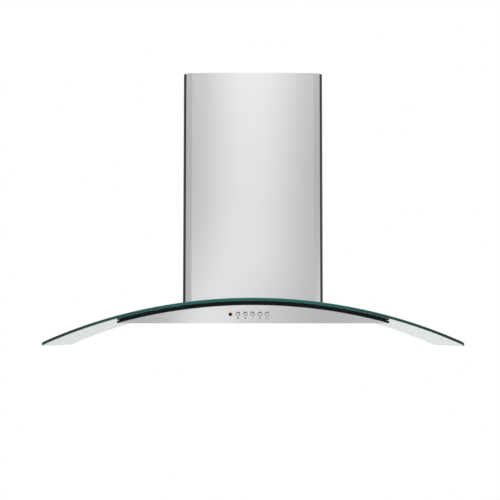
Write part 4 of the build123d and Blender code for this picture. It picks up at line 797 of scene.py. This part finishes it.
def button_signs():
    """Plain signs printed under the buttons: a lamp, a nought, and one, two or three strokes."""
    ray_reach, ray_length, ray_width = 0.0023, 0.0010, 0.0006
    rays = [((ray_reach * math.cos(turn), ray_reach * math.sin(turn)), (ray_length, ray_width), turn)
            for turn in [math.pi * i / 4 for i in range(8)]]
    meshes = [sign_mesh("sign_lamp", [(0.0015, 0.0015)], rays), sign_mesh("sign_off", [(0.0017, 0.0018)])]
    meshes += [sign_mesh(name, (), strokes(count))
               for name, count in (("sign_low", 1), ("sign_middle", 2), ("sign_high", 3))]
    level = BUTTON_Z - SIGN_DROP
    for number, (x, mesh) in enumerate(zip(BUTTON_XS, meshes)):
        for vert in mesh.vertices:
            side, up, out = vert.co
            vert.co = (x + side, bow_front(FASCIA_BOW, x + side) - SIGN_LIFT - out, level + up)
        keep_piece(mesh, "button_sign_%d" % (number + 1), "mark_grey", "hood", "ring_black")


button_signs()


# ---- room: floor, lights, camera ------------------------------------------------------------


def floor_material():
    """Pale floor, clear from below so that the under side can be looked at."""
    material, tree, shader = finish("studio_floor", (0.82, 0.82, 0.81), 0.75)
    white = place(tree, "ShaderNodeEmission", {"Color": (1.0, 1.0, 1.0, 1.0), "Strength": 0.95})
    path = place(tree, "ShaderNodeLightPath").outputs
    sharp = calc(tree, "MAXIMUM", path["Is Glossy Ray"], path["Is Transmission Ray"])
    lit = place(tree, "ShaderNodeMixShader", {0: sharp, 1: shader.outputs[0], 2: white.outputs[0]})
    clear = place(tree, "ShaderNodeBsdfTransparent")
    behind = place(tree, "ShaderNodeNewGeometry").outputs["Backfacing"]
    mixed = place(tree, "ShaderNodeMixShader", {0: behind, 1: lit.outputs[0], 2: clear.outputs[0]})
    tree.links.new(mixed.outputs[0], tree.nodes["Material Output"].inputs["Surface"])
    return material


def studio_floor():
    """A floor that ends just behind the wall plane."""
    corners = [(-FLOOR_REACH, -FLOOR_REACH), (FLOOR_REACH, -FLOOR_REACH),
               (FLOOR_REACH, FLOOR_BACK), (-FLOOR_REACH, FLOOR_BACK)]
    mesh = bpy.data.meshes.new("studio_floor")
    mesh.from_pydata([(x, y, FLOOR_Z) for x, y in corners], [], [(0, 1, 2, 3)])
    mesh.materials.append(floor_material())
    floor = bpy.data.objects.new("studio_floor", mesh)
    bpy.context.scene.collection.objects.link(floor)


studio_floor()


def front_of_room(tree, azimuth, height):
    """Brightness in front of the hood: one tall bright band, and dark above it up to the ceiling."""
    degrees = math.radians
    # from the horizon down, where the fascia looks, the band is narrower, brighter and further left
    low = ramp(tree, height, degrees(2.4), degrees(0.2))
    middle = calc(tree, "MULTIPLY_ADD", low, degrees(-9.5), degrees(0.2))
    reach = calc(tree, "MULTIPLY_ADD", low, degrees(-5.6), degrees(11.5))
    off = calc(tree, "DIVIDE", calc(tree, "SUBTRACT", azimuth, middle), reach)
    band = calc(tree, "MAXIMUM", calc(tree, "SUBTRACT", 1.0, calc(tree, "MULTIPLY", off, off)), 0.0)
    # the chimney is a little brighter towards its top and its bottom
    away = calc(tree, "DIVIDE", calc(tree, "SUBTRACT", height, degrees(7.4)), degrees(5.5))
    below = calc(tree, "MULTIPLY_ADD", calc(tree, "LESS_THAN", away, 0.0), 0.45, 1.0)
    ends = calc(tree, "MINIMUM", calc(tree, "MULTIPLY", calc(tree, "MULTIPLY", away, away), below), 1.6)
    side = ramp(tree, calc(tree, "ABSOLUTE", azimuth), degrees(10.0), degrees(24.0), 0.50, 0.60)
    side = calc(tree, "MULTIPLY", side, calc(tree, "MULTIPLY_ADD", ends, 0.27, 1.0))
    lean = calc(tree, "MULTIPLY", calc(tree, "MULTIPLY", low, azimuth), 0.26)
    side = calc(tree, "ADD", side, lean)
    glare = calc(tree, "MULTIPLY_ADD", low, 0.42, calc(tree, "MULTIPLY_ADD", ends, 0.10, 0.72))
    front = calc(tree, "MULTIPLY_ADD", band, glare, side)
    above = ramp(tree, height, degrees(28.0), degrees(40.0), 1.0, 0.0)
    ceiling = ramp(tree, height, degrees(60.0), degrees(76.0), 0.0, 0.85)
    return calc(tree, "ADD", calc(tree, "MULTIPLY", front, above), ceiling)


def studio_world():
    """White to the camera; reflections see a white backdrop behind the hood and a dim room before it."""
    plain_light, camera_white = 0.72, 1.0
    world = bpy.data.worlds.new("studio")
    bpy.context.scene.world = world
    world.use_nodes = True
    tree = world.node_tree
    tree.nodes.clear()
    way = place(tree, "ShaderNodeTexCoord").outputs["Generated"]
    parts = place(tree, "ShaderNodeSeparateXYZ", {0: way}).outputs
    azimuth = calc(tree, "ARCTAN2", parts[0], calc(tree, "MULTIPLY", parts[1], -1.0))
    height = calc(tree, "ARCSINE", parts[2])
    front = front_of_room(tree, azimuth, height)
    backdrop = calc(tree, "MULTIPLY_ADD", parts[0], 0.16, 0.83)
    shown = blend(tree, ramp(tree, parts[1], -0.1, 0.3), front, backdrop)
    path = place(tree, "ShaderNodeLightPath").outputs
    sharp = calc(tree, "MAXIMUM", path["Is Glossy Ray"], path["Is Transmission Ray"])
    strength = blend(tree, sharp, plain_light, shown)
    strength = blend(tree, path["Is Camera Ray"], strength, camera_white)
    light = place(tree, "ShaderNodeBackground", {"Color": (1.0, 1.0, 1.0, 1.0), "Strength": strength})
    place(tree, "ShaderNodeOutputWorld", {"Surface": light.outputs[0]})


studio_world()


def soft_light(name, spot, size, power):
    """A large area light, aimed at the hood, that neither the camera nor a reflection sees."""
    aim = Vector((0.0, -0.2, 0.0))
    data = bpy.data.lights.new(name, "AREA")
    data.shape = "RECTANGLE"
    data.size, data.size_y = size
    data.energy = power
    light = bpy.data.objects.new(name, data)
    light.location = spot
    light.rotation_euler = (aim - Vector(spot)).to_track_quat("-Z", "Y").to_euler()
    light.visible_camera = False
    light.visible_glossy = False
    bpy.context.scene.collection.objects.link(light)


soft_light("top_left_softbox", (-1.6, -1.9, 1.9), size=(1.4, 1.4), power=14.0)
soft_light("right_softbox", (2.0, -1.4, 0.9), size=(1.0, 1.6), power=6.0)


def photo_camera():
    """The camera, at the place and the angle that the photograph was taken from."""
    image_side, focal_pixels, sensor = 500.0, 1199.93, 36.0
    tilt, roll = math.radians(94.1128), math.radians(0.037)
    data = bpy.data.cameras.new("photo_camera")
    data.sensor_width = sensor
    data.lens = focal_pixels / image_side * sensor
    camera = bpy.data.objects.new("photo_camera", data)
    camera.matrix_world = (Matrix.Translation((-0.006635, -2.99587, -0.22727))
                           @ Matrix.Rotation(tilt, 4, "X") @ Matrix.Rotation(roll, 4, "Z"))
    bpy.context.scene.collection.objects.link(camera)
    bpy.context.scene.camera = camera


photo_camera()
bpy.context.scene.view_settings.view_transform = "Standard"
